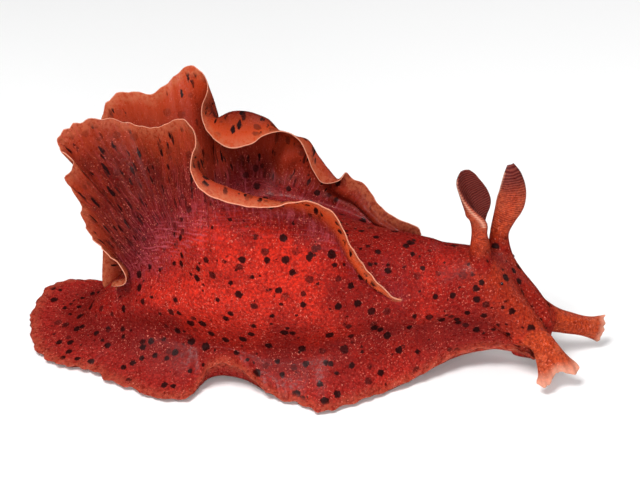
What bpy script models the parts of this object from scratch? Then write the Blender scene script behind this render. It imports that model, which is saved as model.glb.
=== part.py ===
"""California sea hare, crawling: a still, life-size model, head towards +X, its right side towards -Y.

The body is one cage of rows and columns. Rows run from the tip of the tail forward; columns run from
the middle of the sole, out to the foot's margin, up the flank and in to the middle of the back.
Sizes are in millimetres, and become metres when a point is put into a mesh.
"""
import math

import bmesh
import bpy
from mathutils import Vector

MM = 0.001
GAP = 0.3
RIGHT, LEFT = -1, 1
SIDES = {"right": RIGHT, "left": LEFT}
# From the frame of these tables to the middle of the finished model's base
CENTRING = Vector((2.5, 3.0, 0))

# Points nearer than this become one
WELD = 0.02
# How far from a cut a point may lie and still count as on it
ON_CUT = 0.001

# Rows of the cage
FLAP_REAR_ROW = 7
FLAP_FRONT_ROW = 53
NECK_ROW = 64
FOOT_END_ROW = 70
HEAD_END_ROW = 74

# Columns of one half of the cage
SOLE_COLUMNS = 3
MARGIN_COLUMN = 5
CREASE_COLUMN = 10
ROOT_OUTER_COLUMN = 14
ROOT_INNER_COLUMN = 15
BACK_COLUMN = 19
LID_COLUMNS = 3

# Where thin cuts part the foot and the body into lengths
FOOT_CUTS = (-88, 48)
BODY_CUTS = (-62, 0, 44, 76)

# How far out from the sole's middle its columns lie, and how far they rise with the margin
SOLE_SHARES = (0, 0.36, 0.66, 0.88)
SOLE_LIFTS = (0, 0, 0.12, 0.45)
# How far the margin stands above a sole that is pressed flat
FLAT_MARGIN = 3
# Where the skirt bends between the crease and the margin
KNEE_SHARE = 0.42
KNEE_RISE = 0.3

# The foot's rounded margin and the parapodia
MARGIN_HALF = 0.9
MARGIN_INSET = 1.6
ROOT_HALF = 2.1
ROOT_END_HALF = 0.8
ROOT_TAPER_ROWS = 6
FLAP_TOP_THICKNESS = 1.7
FLAP_STEPS = 9
# How quickly a parapodium thins from its root
FLAP_THINNING = 1.5
FLAP_CUT_ROWS = (7, 22, 38, 53)
# The least reach of the curve that shapes a parapodium, and its reach at the root for a full curl
LEAST_HANDLE = 0.36
ROOT_HANDLE = 0.6
# Steps to the neighbouring points that give a surface its direction
ROW_STEP = 0.2
SHARE_STEP = 0.04
# Where the flank is widest, and how quickly the back rounds in from the flap's root
WIDEST = 0.55
ROOT_DROP = 0.6
BACK_ROUNDING = 2.2

# Rhinophores and oral tentacles
FEELER_SIDES = 14
FEELER_STEP = 0.02
RHINOPHORE_RINGS = 14
TENTACLE_RINGS = 12
EYE_RADIUS = 0.8
EYE_PLACE = (65.5, 16.4)
EYE_SINK = 0.25
# A slanted surface needs slightly more growth for the same gap
CLEARANCE_GROWTH = 1.1

# The mantle, a low oval dome on the back, and the siphon at its rear
MANTLE_ROWS = (23, 43)
MANTLE_COLUMNS = 12
MANTLE_SPREAD = 0.78
MANTLE_RIM = 1.6
# How square the oval is, and how wide it still is at its ends
MANTLE_SQUARENESS = 2.6
MANTLE_END = 0.06
MANTLE_HEIGHT = 4.5

# row, x, y, fan angle, crease half width and height, flank half width and height,
# flap root half width and height, back height, sole lift
BODY = (
    (0, -112, -5, 0, 17, 12, 11, 18, 6, 24, 27, 0),
    (4, -110, -5, 50, 18, 13, 13, 21, 7, 27, 30, 0),
    (7, -107, -5, 90, 21, 16, 18, 25, 9, 32, 34, 0),
    (14, -92, -5, 90, 28, 20, 29, 34, 18, 46, 48, 0),
    (21, -75, -4, 90, 33, 21, 38, 42, 29, 56, 58, 0),
    (31, -46, -4, 90, 40, 21, 48, 46, 43, 62, 63, 0),
    (37, -24, -4, 90, 42, 21, 51, 47, 46, 63, 64, 0),
    (44, 4, -4, 90, 41, 23, 48, 44, 41, 60, 65, 0),
    (49, 24, -4, 90, 36, 27, 40, 43, 33, 56, 66, 0),
    (53, 42, -4, 90, 29, 29, 32, 42, 26, 52, 64, 0),
    (59, 70, -4, 90, 20, 31, 24, 42, 19, 53, 61, 4),
    (64, 92, -4, 90, 17, 30, 21, 42, 16, 53, 59, 8),
)
# row, x, y, turn of the head, fan angle, then as BODY, and the height under the chin
HEAD = (
    (64, 92, -4, 0, 90, 17, 30, 21, 42, 16, 53, 59, 30),
    (67, 98, -6, -12, 112, 16, 25, 19, 36, 13, 46, 52, 24),
    (70, 103, -8, -18, 142, 14, 19, 16, 29, 11, 36, 40, 18),
    (73, 106, -9, -18, 168, 12, 14, 14, 21, 9, 26, 29, 13),
    (74, 106, -9, -18, 180, 8, 14, 10, 19, 7, 25, 29, 13),
)
# row, x, y, fan angle, crease half width and height, middle height, sole lift
FOOT_FRONT = (
    (64, 92, -4, 90, 17, 30, 30, 8),
    (67, 98.5, -5, 118, 12, 16, 16.5, 6),
    (70, 103, -8, 180, 8, 9, 10, 3),
)
# row, x, y, z of the foot's margin on each side
FOOT_MARGIN = {
    RIGHT: (
        (0, -155, -10, 6),
        (3, -151, -32, 3),
        (6, -136, -45, 2.5),
        (8.5, -124, -45, 3),
        (11, -112, -51, 2.5),
        (13.5, -101, -60, 2),
        (16, -91, -62, 2.5),
        (19, -80, -70, 2),
        (22, -69, -73, 2),
        (25, -61, -69, 3),
        (28, -57, -58, 12),
        (31, -47, -56, 16),
        (34, -35, -59, 12),
        (37, -23, -61, 4),
        (40, -12, -63, 2),
        (43, 0, -69, 2),
        (45, 9, -72, 2),
        (47.5, 21, -66, 2),
        (50, 31, -55, 2.5),
        (53, 42, -46, 2.5),
        (56, 56, -36, 5),
        (60, 76, -21, 11),
        (64, 94, -17, 14),
        (67, 108, -16, 12),
        (70, 118, -10, 5),
    ),
    LEFT: (
        (0, -155, -10, 6),
        (3, -155, 8, 9),
        (6, -143, 25, 9),
        (11, -120, 36, 5),
        (16, -96, 44, 9),
        (21, -74, 52, 3),
        (26, -56, 57, 2),
        (31, -40, 56, 9),
        (36, -22, 58, 12),
        (40, -6, 62, 4),
        (44, 8, 62, 2),
        (48, 24, 54, 4),
        (52, 42, 42, 9),
        (56, 60, 29, 7),
        (60, 76, 16, 11),
        (64, 94, 9, 13),
        (67, 108, 3, 9),
        (70, 118, -10, 5),
    ),
}
# row, x, y, z of the parapodium's margin, how far it leans out at its root, how far its edge curls out,
# and how full the curl is
FLAP_MARGIN = {
    RIGHT: (
        (7, -108, -17, 40, 0, 0, 0.36),
        (9, -104, -27, 43, -40, 60, 0.4),
        (11, -110, -22, 52, -25, 55, 0.4),
        (12.8, -119, -14, 65, 0, 30, 0.36),
        (14.4, -126, -10, 78, -15, 20, 0.36),
        (16.3, -133, -6, 88, -20, 10, 0.36),
        (17.9, -126, -9, 98, -20, 10, 0.36),
        (19.7, -136, -2, 107, -20, 10, 0.36),
        (21.5, -128, 1, 118, -15, 5, 0.36),
        (23.4, -113, 5, 120, -10, 5, 0.36),
        (25.2, -99, 5, 119, 0, 5, 0.36),
        (27.3, -83, -4, 118, 20, 10, 0.36),
        (29.2, -68, -16, 128, 30, 20, 0.36),
        (30.9, -57, -30, 130, 25, 50, 0.36),
        (32.8, -57, -46, 123, 20, 80, 0.4),
        (34.6, -53, -60, 117, 15, 95, 0.5),
        (37.2, -38, -61, 111, 12, 90, 0.5),
        (40.1, -18, -55, 105, 15, 60, 0.45),
        (43.3, 3, -48, 105, 20, 25, 0.36),
        (45.4, 14, -46, 98, 25, 15, 0.36),
        (47.9, 22, -42, 80, 25, 15, 0.36),
        (51, 34, -36, 60, 20, 10, 0.36),
        (53, 44, -30, 56, 0, 0, 0.36),
    ),
    LEFT: (
        (7, -110, 6, 40, 0, 0, 0.36),
        (9.5, -114, 14, 50, 10, 10, 0.36),
        (12, -121, 24, 70, 10, 10, 0.36),
        (14.5, -124, 34, 92, 10, 10, 0.36),
        (17, -120, 44, 111, 5, 0, 0.36),
        (18.6, -110, 50, 115, 5, 0, 0.36),
        (20, -100, 52, 114, 5, 0, 0.36),
        (21.5, -92, 60, 119, 5, 10, 0.36),
        (22.9, -86, 66, 124, 5, 10, 0.36),
        (24, -79, 66, 127, 10, 0, 0.4),
        (25.2, -73, 56, 118, 12, -40, 0.36),
        (26.8, -70, 43, 108, 22, -72, 0.46),
        (28.7, -62, 33, 98, 34, -90, 0.72),
        (30.3, -53, 30, 93, 42, -100, 1.05),
        (32.1, -44, 31, 94, 44, -95, 1.1),
        (34, -33, 39, 99, 30, -75, 0.7),
        (35.4, -23, 44, 102, 15, -50, 0.45),
        (36.8, -15, 43, 97, 20, -70, 0.5),
        (38.4, -10, 38, 87, 25, -90, 0.7),
        (40, -3, 34, 78, 30, -95, 0.8),
        (41.3, 5, 36, 79, 20, -50, 0.5),
        (42.3, 9, 41, 81, 10, 0, 0.36),
        (43.6, 10, 43, 73, 10, 20, 0.36),
        (45.4, 20, 41, 72, 10, 10, 0.36),
        (48.4, 31, 33, 66, 10, 0, 0.36),
        (51, 43, 25, 61, 5, 0, 0.36),
        (53, 46, 20, 58, 0, 0, 0.36),
    ),
}
# share of the length, x, y, z, half width, half depth, how far the groove opens
RHINOPHORE = {
    RIGHT: (
        (0, 85.5, -12, 50, 6.5, 6.5, 0),
        (0.16, 84.2, -12.8, 61, 5, 5, 0),
        (0.34, 83.2, -13.8, 73, 4.2, 4.2, 0.1),
        (0.5, 82.6, -14.4, 83, 5.2, 4, 0.9),
        (0.65, 80.6, -15, 92, 7.2, 3.8, 1.5),
        (0.8, 78.2, -15.6, 99.5, 7.6, 3.4, 1.6),
        (0.92, 76, -16, 107, 6, 2.8, 1.5),
        (1, 74.6, -16.4, 113.6, 2.2, 1.2, 0.6),
    ),
    LEFT: (
        (0, 94.5, 6.5, 46, 6.5, 6.5, 0),
        (0.16, 93, 8.4, 56, 5, 5, 0),
        (0.34, 92.8, 9.8, 67, 4.3, 4.3, 0.1),
        (0.5, 94.4, 10.5, 75, 5.6, 4.2, 0.9),
        (0.65, 96.6, 11, 83, 7, 3.8, 1.5),
        (0.8, 97.6, 11.5, 91, 6.8, 3.4, 1.6),
        (0.92, 97, 12, 98, 4.8, 2.8, 1.5),
        (1, 95.8, 12.5, 104.6, 1.8, 1.2, 0.6),
    ),
}
ORAL_TENTACLE = {
    RIGHT: (
        (0, 98, -14, 33, 4, 4, 0),
        (0.3, 107, -18, 26, 6, 5.4, 0.1),
        (0.6, 114.5, -22, 19.5, 6, 4.6, 0.6),
        (0.8, 121, -26.5, 13, 6.8, 3.8, 1.2),
        (0.92, 125.6, -29, 9.2, 9.4, 3.4, 1.5),
        (1, 128, -30, 7.2, 11.6, 3.2, 1.6),
    ),
    LEFT: (
        (0, 107, -3, 27, 6.5, 6.5, 0),
        (0.3, 117, 3, 19.5, 7, 6.2, 0.1),
        (0.6, 130, 9, 13.6, 4.8, 4.8, 0.5),
        (0.8, 139, 12.5, 12.6, 5, 4, 1.1),
        (0.92, 145, 15, 12.8, 6.4, 3.4, 1.5),
        (1, 149, 16.5, 13.2, 8, 3, 1.6),
    ),
}
# The ways in which the grooves open
RHINOPHORE_GROOVE = {RIGHT: Vector((0.6, -0.75, 0.3)), LEFT: Vector((0.1, 1, 0))}
TENTACLE_GROOVE = {RIGHT: Vector((-0.15, 0.7, -0.7)), LEFT: Vector((0.2, 1, -0.3))}
SIPHON = (
    (0, -64, -6, 60, 6, 6, 0),
    (0.4, -66, -7, 71, 4.6, 4.6, 0),
    (0.8, -67.5, -8, 80, 4.8, 4.6, 0),
    (1, -68, -8.5, 84, 6, 5.4, 0),
)
# The siphon's hollow end: its width, and its depths as shares of the length
SIPHON_BORE = 0.72
BORE_DEPTHS = (0.02, 0.3)
SIPHON_RINGS = 8


def along(table, row):
    """The smooth values of a table at a row, by a cubic between its neighbours."""
    last = len(table) - 1
    i = 0
    while i < last - 1 and row > table[i + 1][0]:
        i += 1
    start, end = table[i], table[i + 1]
    span = end[0] - start[0]
    t = min(max((row - start[0]) / span, 0.0), 1.0)

    def slopes(k):
        before, after = table[max(k - 1, 0)], table[min(k + 1, last)]
        return [(b - a) / (after[0] - before[0]) for a, b in zip(before[1:], after[1:])]

    values = []
    for a, b, m, n in zip(start[1:], end[1:], slopes(i), slopes(i + 1)):
        rise = (1 + 2 * t) * (1 - t) ** 2 * a + t * t * (3 - 2 * t) * b
        values.append(rise + t * (1 - t) ** 2 * span * m - t * t * (1 - t) * span * n)
    return values


def sideways(side, fan, turn=0.0):
    """The level direction in which a row runs out from the spine: 0 is back, 90 sideways, 180 forward."""
    x = -math.cos(math.radians(fan))
    y = side * math.sin(math.radians(fan))
    c, s = math.cos(math.radians(turn)), math.sin(math.radians(turn))
    return Vector((x * c - y * s, x * s + y * c, 0))


def sole_and_skirt(column, middle, margin, crease):
    """The foot: its sole, the rounded margin and the skirt that rises to the crease."""
    inward = Vector((middle.x - margin.x, middle.y - margin.y, 0)).normalized() * MARGIN_INSET
    if column <= SOLE_COLUMNS:
        lift = max(margin.z - FLAT_MARGIN - middle.z, 0) * SOLE_LIFTS[column]
        point = middle.lerp(margin, SOLE_SHARES[column])
        return Vector((point.x, point.y, middle.z + lift))
    if column <= MARGIN_COLUMN + 1:
        step = column - MARGIN_COLUMN
        return margin + abs(step) * inward + Vector((0, 0, step * MARGIN_HALF))
    upper = margin + inward + Vector((0, 0, MARGIN_HALF))
    t = (column - MARGIN_COLUMN - 1) / (CREASE_COLUMN - MARGIN_COLUMN - 1)
    knee = crease.lerp(upper, KNEE_SHARE)
    knee.z = upper.z + KNEE_RISE * (crease.z - upper.z)
    return upper * (1 - t) ** 2 + knee * 2 * t * (1 - t) + crease * t * t


def root_half(row):
    """Half the width of the strip that carries a parapodium, narrower towards its two ends."""
    inside = min(row - FLAP_REAR_ROW, FLAP_FRONT_ROW - row) / ROOT_TAPER_ROWS
    t = min(max(inside, 0), 1)
    return ROOT_END_HALF + (ROOT_HALF - ROOT_END_HALF) * t * t * (3 - 2 * t)


def flank_and_back(row, column, spine, out, sizes):
    """The upper body, from the crease over the flank and the flap's root to the middle of the back."""
    crease_w, crease_z, flank_w, flank_z, root_w, root_z, back_z = sizes
    half = root_half(row)
    if column <= ROOT_OUTER_COLUMN:
        wall = (
            (0, crease_w, crease_z),
            (WIDEST, flank_w, flank_z),
            (1, root_w + half, root_z - ROOT_DROP * half),
        )
        t = (column - CREASE_COLUMN) / (ROOT_OUTER_COLUMN - CREASE_COLUMN)
        wide, high = along(wall, t)
    else:
        t = (BACK_COLUMN - column) / (BACK_COLUMN - ROOT_INNER_COLUMN)
        wide = (root_w - half) * t
        high = root_z + (back_z - root_z) * (1 - t**BACK_ROUNDING)
    return Vector((spine.x, spine.y, high)) + out * wide


def body_row(side, row):
    """The spine point, outward direction, sizes and crease point of a row."""
    x, y, fan, *sizes, lift = along(BODY, row)
    spine = Vector((x, y, max(lift, 0)))
    out = sideways(side, fan)
    return spine, out, sizes, flank_and_back(row, CREASE_COLUMN, spine, out, sizes)


def foot_point(side, row, column):
    """The foot. Its last columns are a lid that closes it below the body."""
    if row > NECK_ROW:
        x, y, fan, crease_w, crease_z, lid_z, lift = along(FOOT_FRONT, row)
        spine = Vector((x, y, lift))
        crease = Vector((x, y, crease_z)) + sideways(side, fan) * crease_w
    else:
        spine, _, _, crease = body_row(side, row)
        lid_z = crease.z
    if column <= CREASE_COLUMN:
        return sole_and_skirt(column, spine, Vector(along(FOOT_MARGIN[side], row)), crease)
    return crease.lerp(Vector((spine.x, spine.y, lid_z)), (column - CREASE_COLUMN) / LID_COLUMNS)


def body_point(side, row, column):
    """The body and head above the foot. Its first columns are a floor that closes it below."""
    if row > NECK_ROW:
        x, y, turn, fan, *sizes, chin_z = along(HEAD, row)
        spine = Vector((x, y, 0))
        out = sideways(side, fan, turn)
        crease = flank_and_back(row, CREASE_COLUMN, spine, out, sizes)
    else:
        spine, out, sizes, crease = body_row(side, row)
        chin_z = crease.z
    if column > CREASE_COLUMN:
        return flank_and_back(row, column, spine, out, sizes)
    middle = Vector((spine.x, spine.y, chin_z))
    point = middle.lerp(crease, 1 - (CREASE_COLUMN - column) / LID_COLUMNS)
    return point + Vector((0, 0, GAP))


def add_sheet(shell, place, rows, columns):
    """A grid of faces whose points are put in place by row and column; returns its vertices."""
    row_steps, column_steps = rows[1] - rows[0], columns[1] - columns[0]
    made = bmesh.ops.create_grid(shell, x_segments=row_steps, y_segments=column_steps, size=0.5)
    for vert in made["verts"]:
        row = rows[0] + round((vert.co.x + 0.5) * row_steps)
        column = columns[0] + round((vert.co.y + 0.5) * column_steps)
        vert.co = (place(row, column) + CENTRING) * MM
    return made["verts"]


def closed(shell):
    """Welds the edges that meet, closes what is left open and turns the faces outward."""
    bmesh.ops.remove_doubles(shell, verts=shell.verts, dist=WELD * MM)
    bmesh.ops.holes_fill(shell, edges=[e for e in shell.edges if e.is_boundary], sides=0)
    bmesh.ops.recalc_face_normals(shell, faces=shell.faces)
    return shell


def halves(place, rows, columns):
    """Both halves of a closed body, split into triangles by the shorter way across each face."""
    shell = bmesh.new()
    for side in (RIGHT, LEFT):
        add_sheet(shell, lambda row, column: place(side, row, column), rows, columns)
    bmesh.ops.triangulate(shell, faces=shell.faces, quad_method="SHORT_EDGE")
    return closed(shell)


def length_of(whole, rear, front):
    """The stretch of a closed body between two upright cuts; None stands for its own end."""
    piece = whole.copy()
    for x, facing in ((rear, 1), (front, -1)):
        if x is None:
            continue
        cut_x = (x + CENTRING.x + 0.5 * GAP * facing) * MM
        bmesh.ops.bisect_plane(
            piece,
            geom=[*piece.verts, *piece.edges, *piece.faces],
            dist=ON_CUT * MM,
            plane_co=(cut_x, 0, 0),
            plane_no=(facing, 0, 0),
            clear_inner=True,
        )
        bmesh.ops.holes_fill(piece, edges=[e for e in piece.edges if e.is_boundary], sides=0)
    return piece


def flap_point(side, row, share):
    """A point of the parapodium's middle sheet, from its root at share 0 to its margin at share 1."""
    outer = body_point(side, row, ROOT_OUTER_COLUMN)
    inner = body_point(side, row, ROOT_INNER_COLUMN)
    root = outer.lerp(inner, 0.5)
    x, y, z, lean, curl, fullness = along(FLAP_MARGIN[side], row)
    margin = Vector((x, y, z))
    reach = margin - root
    up = reach.normalized()
    out = Vector((0, side, 0))
    out = (out - up * out.dot(up)).normalized()
    lean, curl = math.radians(lean), math.radians(curl)
    handle = max(LEAST_HANDLE, ROOT_HANDLE * fullness)
    first = root + handle * reach.length * (up * math.cos(lean) + out * math.sin(lean))
    second = margin - fullness * reach.length * (up * math.cos(curl) + out * math.sin(curl))
    t, s = share, 1 - share
    return root * s ** 3 + first * 3 * t * s * s + second * 3 * t * t * s + margin * t ** 3


def flap_face(side, row, share, face):
    """A point of the outer face (1) or the inner face (-1) of a parapodium."""
    if share <= 0:
        outer = body_point(side, row, ROOT_OUTER_COLUMN)
        inner = body_point(side, row, ROOT_INNER_COLUMN)
        ahead = body_point(side, row + ROW_STEP, ROOT_OUTER_COLUMN)
        rise = side * (inner - outer).cross(ahead - outer).normalized()
        return (outer if face > 0 else inner) + rise * GAP
    behind = flap_point(side, max(row - ROW_STEP, FLAP_REAR_ROW), share)
    ahead = flap_point(side, min(row + ROW_STEP, FLAP_FRONT_ROW), share)
    below = flap_point(side, row, share - SHARE_STEP)
    above = flap_point(side, row, min(share + SHARE_STEP, 1))
    normal = side * (above - below).cross(ahead - behind).normalized()
    top = min(0.5 * FLAP_TOP_THICKNESS, root_half(row))
    half = top + (root_half(row) - top) * (1 - share) ** FLAP_THINNING
    return flap_point(side, row, share) + normal * half * face


def rimmed(shell):
    """Joins the edges of two like faces by a rim that is split the same way on both sides of a cut."""
    bmesh.ops.bridge_loops(shell, edges=[e for e in shell.edges if e.is_boundary])
    bmesh.ops.triangulate(shell, faces=shell.faces, quad_method="SHORT_EDGE")
    bmesh.ops.recalc_face_normals(shell, faces=shell.faces)
    return shell


def flap_length(side, rear, front):
    """A length of a parapodium: two faces split into like triangles, joined round their edges."""
    shell = bmesh.new()
    for face in (1, -1):

        def place(row, column):
            shift = 0
            if row == rear and rear > FLAP_REAR_ROW:
                shift = 0.5 * GAP
            if row == front and front < FLAP_FRONT_ROW:
                shift = -0.5 * GAP
            point = flap_face(side, row, column / FLAP_STEPS, face)
            if shift:
                nearby = flap_face(side, row + math.copysign(ROW_STEP, shift), column / FLAP_STEPS, face)
                point += (nearby - point).normalized() * abs(shift)
            return point

        verts = add_sheet(shell, place, (rear, front), (0, FLAP_STEPS))
        faces = {f for v in verts for f in v.link_faces}
        bmesh.ops.triangulate(shell, faces=list(faces), quad_method="FIXED")
    return rimmed(shell)


def feeler_ring(table, share, groove_way, angle, swell=1.0):
    """A point round a feeler whose section opens from an oval into a gutter."""
    x, y, z, half_width, half_depth, groove = along(table, share)
    before = Vector(along(table, max(share - FEELER_STEP, 0))[:3])
    after = Vector(along(table, min(share + FEELER_STEP, 1))[:3])
    forward = (after - before).normalized()
    across = forward.cross(groove_way).normalized()
    open_way = across.cross(forward)
    wide = half_width * swell * math.cos(angle)
    deep = half_depth * swell * math.sin(angle)
    if deep > 0:
        deep *= 1 - groove
    return Vector((x, y, z)) + across * wide + open_way * deep


def feeler(table, groove_way, rings, bore=0.0):
    """A feeler from its root to its tip, with a hollow end where it has a bore."""
    shell = bmesh.new()

    def place(row, column):
        angle = math.tau * column / FEELER_SIDES
        if row <= rings:
            return feeler_ring(table, row / rings, groove_way, angle)
        return feeler_ring(table, 1 - BORE_DEPTHS[row - rings - 1], groove_way, angle, bore)

    last = rings + len(BORE_DEPTHS) if bore else rings
    add_sheet(shell, place, (0, last), (0, FEELER_SIDES))
    return closed(shell)


def mantle_point(row, column, top):
    """A point of the mantle's underside, which follows the back, or of its domed top."""
    middle = 0.5 * (MANTLE_ROWS[0] + MANTLE_ROWS[1])
    half = 0.5 * (MANTLE_ROWS[1] - MANTLE_ROWS[0])
    lengthways = (row - middle) / half
    across = 2 * column / MANTLE_COLUMNS - 1
    outline = math.sqrt(max(1 - abs(lengthways) ** MANTLE_SQUARENESS, MANTLE_END))
    reach = (BACK_COLUMN - ROOT_INNER_COLUMN) * MANTLE_SPREAD * outline * abs(across)
    point = body_point(RIGHT if across < 0 else LEFT, row, BACK_COLUMN - reach)
    if not top:
        return point + Vector((0, 0, GAP))
    dome = (1 - across * across) * (1 - lengthways * lengthways)
    return point + Vector((0, 0, GAP + MANTLE_RIM + MANTLE_HEIGHT * math.sqrt(max(dome, 0))))


def mantle():
    shell = bmesh.new()
    for top in (False, True):
        verts = add_sheet(
            shell, lambda row, column: mantle_point(row, column, top), MANTLE_ROWS, (0, MANTLE_COLUMNS)
        )
        faces = {f for v in verts for f in v.link_faces}
        bmesh.ops.triangulate(shell, faces=list(faces), quad_method="FIXED")
    return rimmed(shell)


def grown(shell):
    """A copy of a body that is larger all round by the gap between touching pieces."""
    larger = shell.copy()
    larger.normal_update()
    for vert, normal in [(v, v.normal.copy()) for v in larger.verts]:
        vert.co += normal * GAP * MM * CLEARANCE_GROWTH
    return larger


def eye_centre(side):
    """The middle of an eye: in the skin of the head, beside and before a rhinophore."""
    row, column = EYE_PLACE
    here = body_point(side, row, column)
    ahead = body_point(side, row + ROW_STEP, column) - here
    inward = body_point(side, row, column + ROW_STEP) - here
    outward = ahead.cross(inward).normalized()
    if outward.z < 0:
        outward.negate()
    return here - outward * EYE_SINK * EYE_RADIUS


def ball(centre, radius):
    shell = bmesh.new()
    bmesh.ops.create_uvsphere(shell, u_segments=12, v_segments=8, radius=radius * MM)
    bmesh.ops.translate(shell, verts=shell.verts, vec=(centre + CENTRING) * MM)
    return shell


def material(name, colour, roughness):
    made = bpy.data.materials.new(name)
    made.use_nodes = True
    shader = made.node_tree.nodes["Principled BSDF"]
    shader.inputs["Base Color"].default_value = (*colour, 1)
    shader.inputs["Roughness"].default_value = roughness
    shader.inputs["Metallic"].default_value = 0
    return made


def add_object(name, shell, colour, roughness=0.38, cutters=()):
    """Puts a finished mesh into the model, cut clear of the pieces it grows from."""
    mesh = bpy.data.meshes.new(name)
    shell.to_mesh(mesh)
    shell.free()
    thing = bpy.data.objects.new(name, mesh)
    bpy.data.collections["sea_hare"].objects.link(thing)
    mesh.materials.append(material(name, colour, roughness))
    mesh.shade_smooth()
    for cutter in cutters:
        cut = thing.modifiers.new(f"clear of {cutter.name}", "BOOLEAN")
        cut.operation = "DIFFERENCE"
        cut.solver = "EXACT"
        cut.object = cutter
    return thing


def add_cutter(name, shell):
    mesh = bpy.data.meshes.new(name)
    shell.to_mesh(mesh)
    shell.free()
    cutter = bpy.data.objects.new(name, mesh)
    cutter.hide_render = True
    cutter.display_type = "WIRE"
    bpy.data.collections["cutters"].objects.link(cutter)
    return cutter


DEEP_RED = (0.33, 0.03, 0.022)
FLANK_RED = (0.48, 0.045, 0.025)
FLAP_RED = (0.36, 0.06, 0.025)
ORANGE_RED = (0.5, 0.1, 0.03)
MANTLE_RED = (0.22, 0.03, 0.03)
EYE_BLACK = (0.01, 0.008, 0.01)


def make_foot():
    foot = halves(foot_point, (0, FOOT_END_ROW), (0, CREASE_COLUMN + LID_COLUMNS))
    rear, front = FOOT_CUTS
    add_object("foot_tail", length_of(foot, None, rear), DEEP_RED)
    add_object("foot_middle", length_of(foot, rear, front), DEEP_RED)
    add_object("foot_front", length_of(foot, front, None), DEEP_RED)
    foot.free()


def make_body():
    """The body's lengths; returns a cutter each for the head and for the whole body."""
    body = halves(body_point, (0, HEAD_END_ROW), (CREASE_COLUMN - LID_COLUMNS, BACK_COLUMN))
    clear_of_body = add_cutter("clear_of_body", grown(body))
    sockets = [
        add_cutter(f"eye_socket_{name}", ball(eye_centre(side), EYE_RADIUS + GAP))
        for name, side in SIDES.items()
    ]
    ends = (None, *BODY_CUTS, None)
    names = ("body_rear", "body_middle", "body_front", "neck", "head")
    for name, rear, front in zip(names, ends, ends[1:]):
        cutters = sockets if name == "head" else ()
        add_object(name, length_of(body, rear, front), FLANK_RED, cutters=cutters)
    body.free()
    return clear_of_body


def make_parapodia():
    for name, side in SIDES.items():
        for part, rear, front in zip(("rear", "middle", "front"), FLAP_CUT_ROWS, FLAP_CUT_ROWS[1:]):
            add_object(f"parapodium_{name}_{part}", flap_length(side, rear, front), FLAP_RED)


def make_feelers(clear_of_body):
    for name, side in SIDES.items():
        horn = feeler(RHINOPHORE[side], RHINOPHORE_GROOVE[side], RHINOPHORE_RINGS)
        add_object(f"rhinophore_{name}", horn, ORANGE_RED, cutters=[clear_of_body])
        tentacle = feeler(ORAL_TENTACLE[side], TENTACLE_GROOVE[side], TENTACLE_RINGS)
        add_object(f"oral_tentacle_{name}", tentacle, ORANGE_RED, cutters=[clear_of_body])
        add_object(f"eye_{name}", ball(eye_centre(side), EYE_RADIUS), EYE_BLACK, 0.1)


def make_mantle(clear_of_body):
    shield = mantle()
    clear_of_mantle = add_cutter("clear_of_mantle", grown(shield))
    add_object("mantle", shield, MANTLE_RED)
    spout = feeler(SIPHON, Vector((1, 0, 0)), SIPHON_RINGS, SIPHON_BORE)
    add_object("siphon", spout, MANTLE_RED, cutters=[clear_of_body, clear_of_mantle])


def main():
    for thing in list(bpy.data.objects):
        bpy.data.objects.remove(thing)
    for name in ("sea_hare", "cutters"):
        bpy.context.scene.collection.children.link(bpy.data.collections.new(name))
    make_foot()
    clear_of_body = make_body()
    make_parapodia()
    make_feelers(clear_of_body)
    make_mantle(clear_of_body)


main()
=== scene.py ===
"""California sea hare, crawling: its skin, mantle, siphon and eyes, on a pale floor.

The skin is one closed cage of rows and columns, welded from sheets and subdivided, so that no seam shows.
Rows run from the tip of the tail forward; columns run from the middle of the sole, out to the foot's
margin, up the flank and in to the middle of the back. Sizes are in millimetres, angles in degrees.
"""
import math
from collections import namedtuple
from functools import partial
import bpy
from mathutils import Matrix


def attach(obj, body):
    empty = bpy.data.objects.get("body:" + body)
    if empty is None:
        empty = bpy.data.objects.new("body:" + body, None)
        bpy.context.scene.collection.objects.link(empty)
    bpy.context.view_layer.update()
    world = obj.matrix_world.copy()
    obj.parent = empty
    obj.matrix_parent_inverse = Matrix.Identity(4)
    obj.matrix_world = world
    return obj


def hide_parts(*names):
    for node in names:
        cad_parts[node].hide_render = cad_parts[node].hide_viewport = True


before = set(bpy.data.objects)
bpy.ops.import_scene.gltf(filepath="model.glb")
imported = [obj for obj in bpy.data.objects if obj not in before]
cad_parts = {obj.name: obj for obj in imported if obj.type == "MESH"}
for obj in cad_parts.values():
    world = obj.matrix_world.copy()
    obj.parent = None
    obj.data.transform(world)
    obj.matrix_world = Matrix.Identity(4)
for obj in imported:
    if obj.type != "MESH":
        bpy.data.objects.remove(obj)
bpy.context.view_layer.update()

from types import SimpleNamespace

import bmesh
import bpy
from mathutils import Vector, geometry, noise
from mathutils.bvhtree import BVHTree

MM = 0.001
RIGHT, LEFT = -1, 1
SIDES = {"right": RIGHT, "left": LEFT}
# From the frame of these tables to the middle of the finished model's base
CENTRING = Vector((2.5, 3.0, 0))
# Points nearer than this become one
WELD = 0.02

# Rows of the cage, closer together where the parapodia stand
FLAP_REAR_ROW = 7
FLAP_FRONT_ROW = 53
NECK_ROW = 64
FOOT_END_ROW = 70
HEAD_END_ROW = 74
FLAP_STEPS = 60
FLAP_SPAN = FLAP_FRONT_ROW - FLAP_REAR_ROW
TAIL_ROWS = range(FLAP_REAR_ROW + 1)
FLAP_ROWS = [FLAP_REAR_ROW + FLAP_SPAN * i / FLAP_STEPS for i in range(FLAP_STEPS + 1)]
NECK_ROWS = range(FLAP_FRONT_ROW, NECK_ROW + 1)
HEAD_ROWS = range(NECK_ROW, HEAD_END_ROW + 1)
FOOT_FRONT_ROWS = range(NECK_ROW, FOOT_END_ROW + 1)

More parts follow.
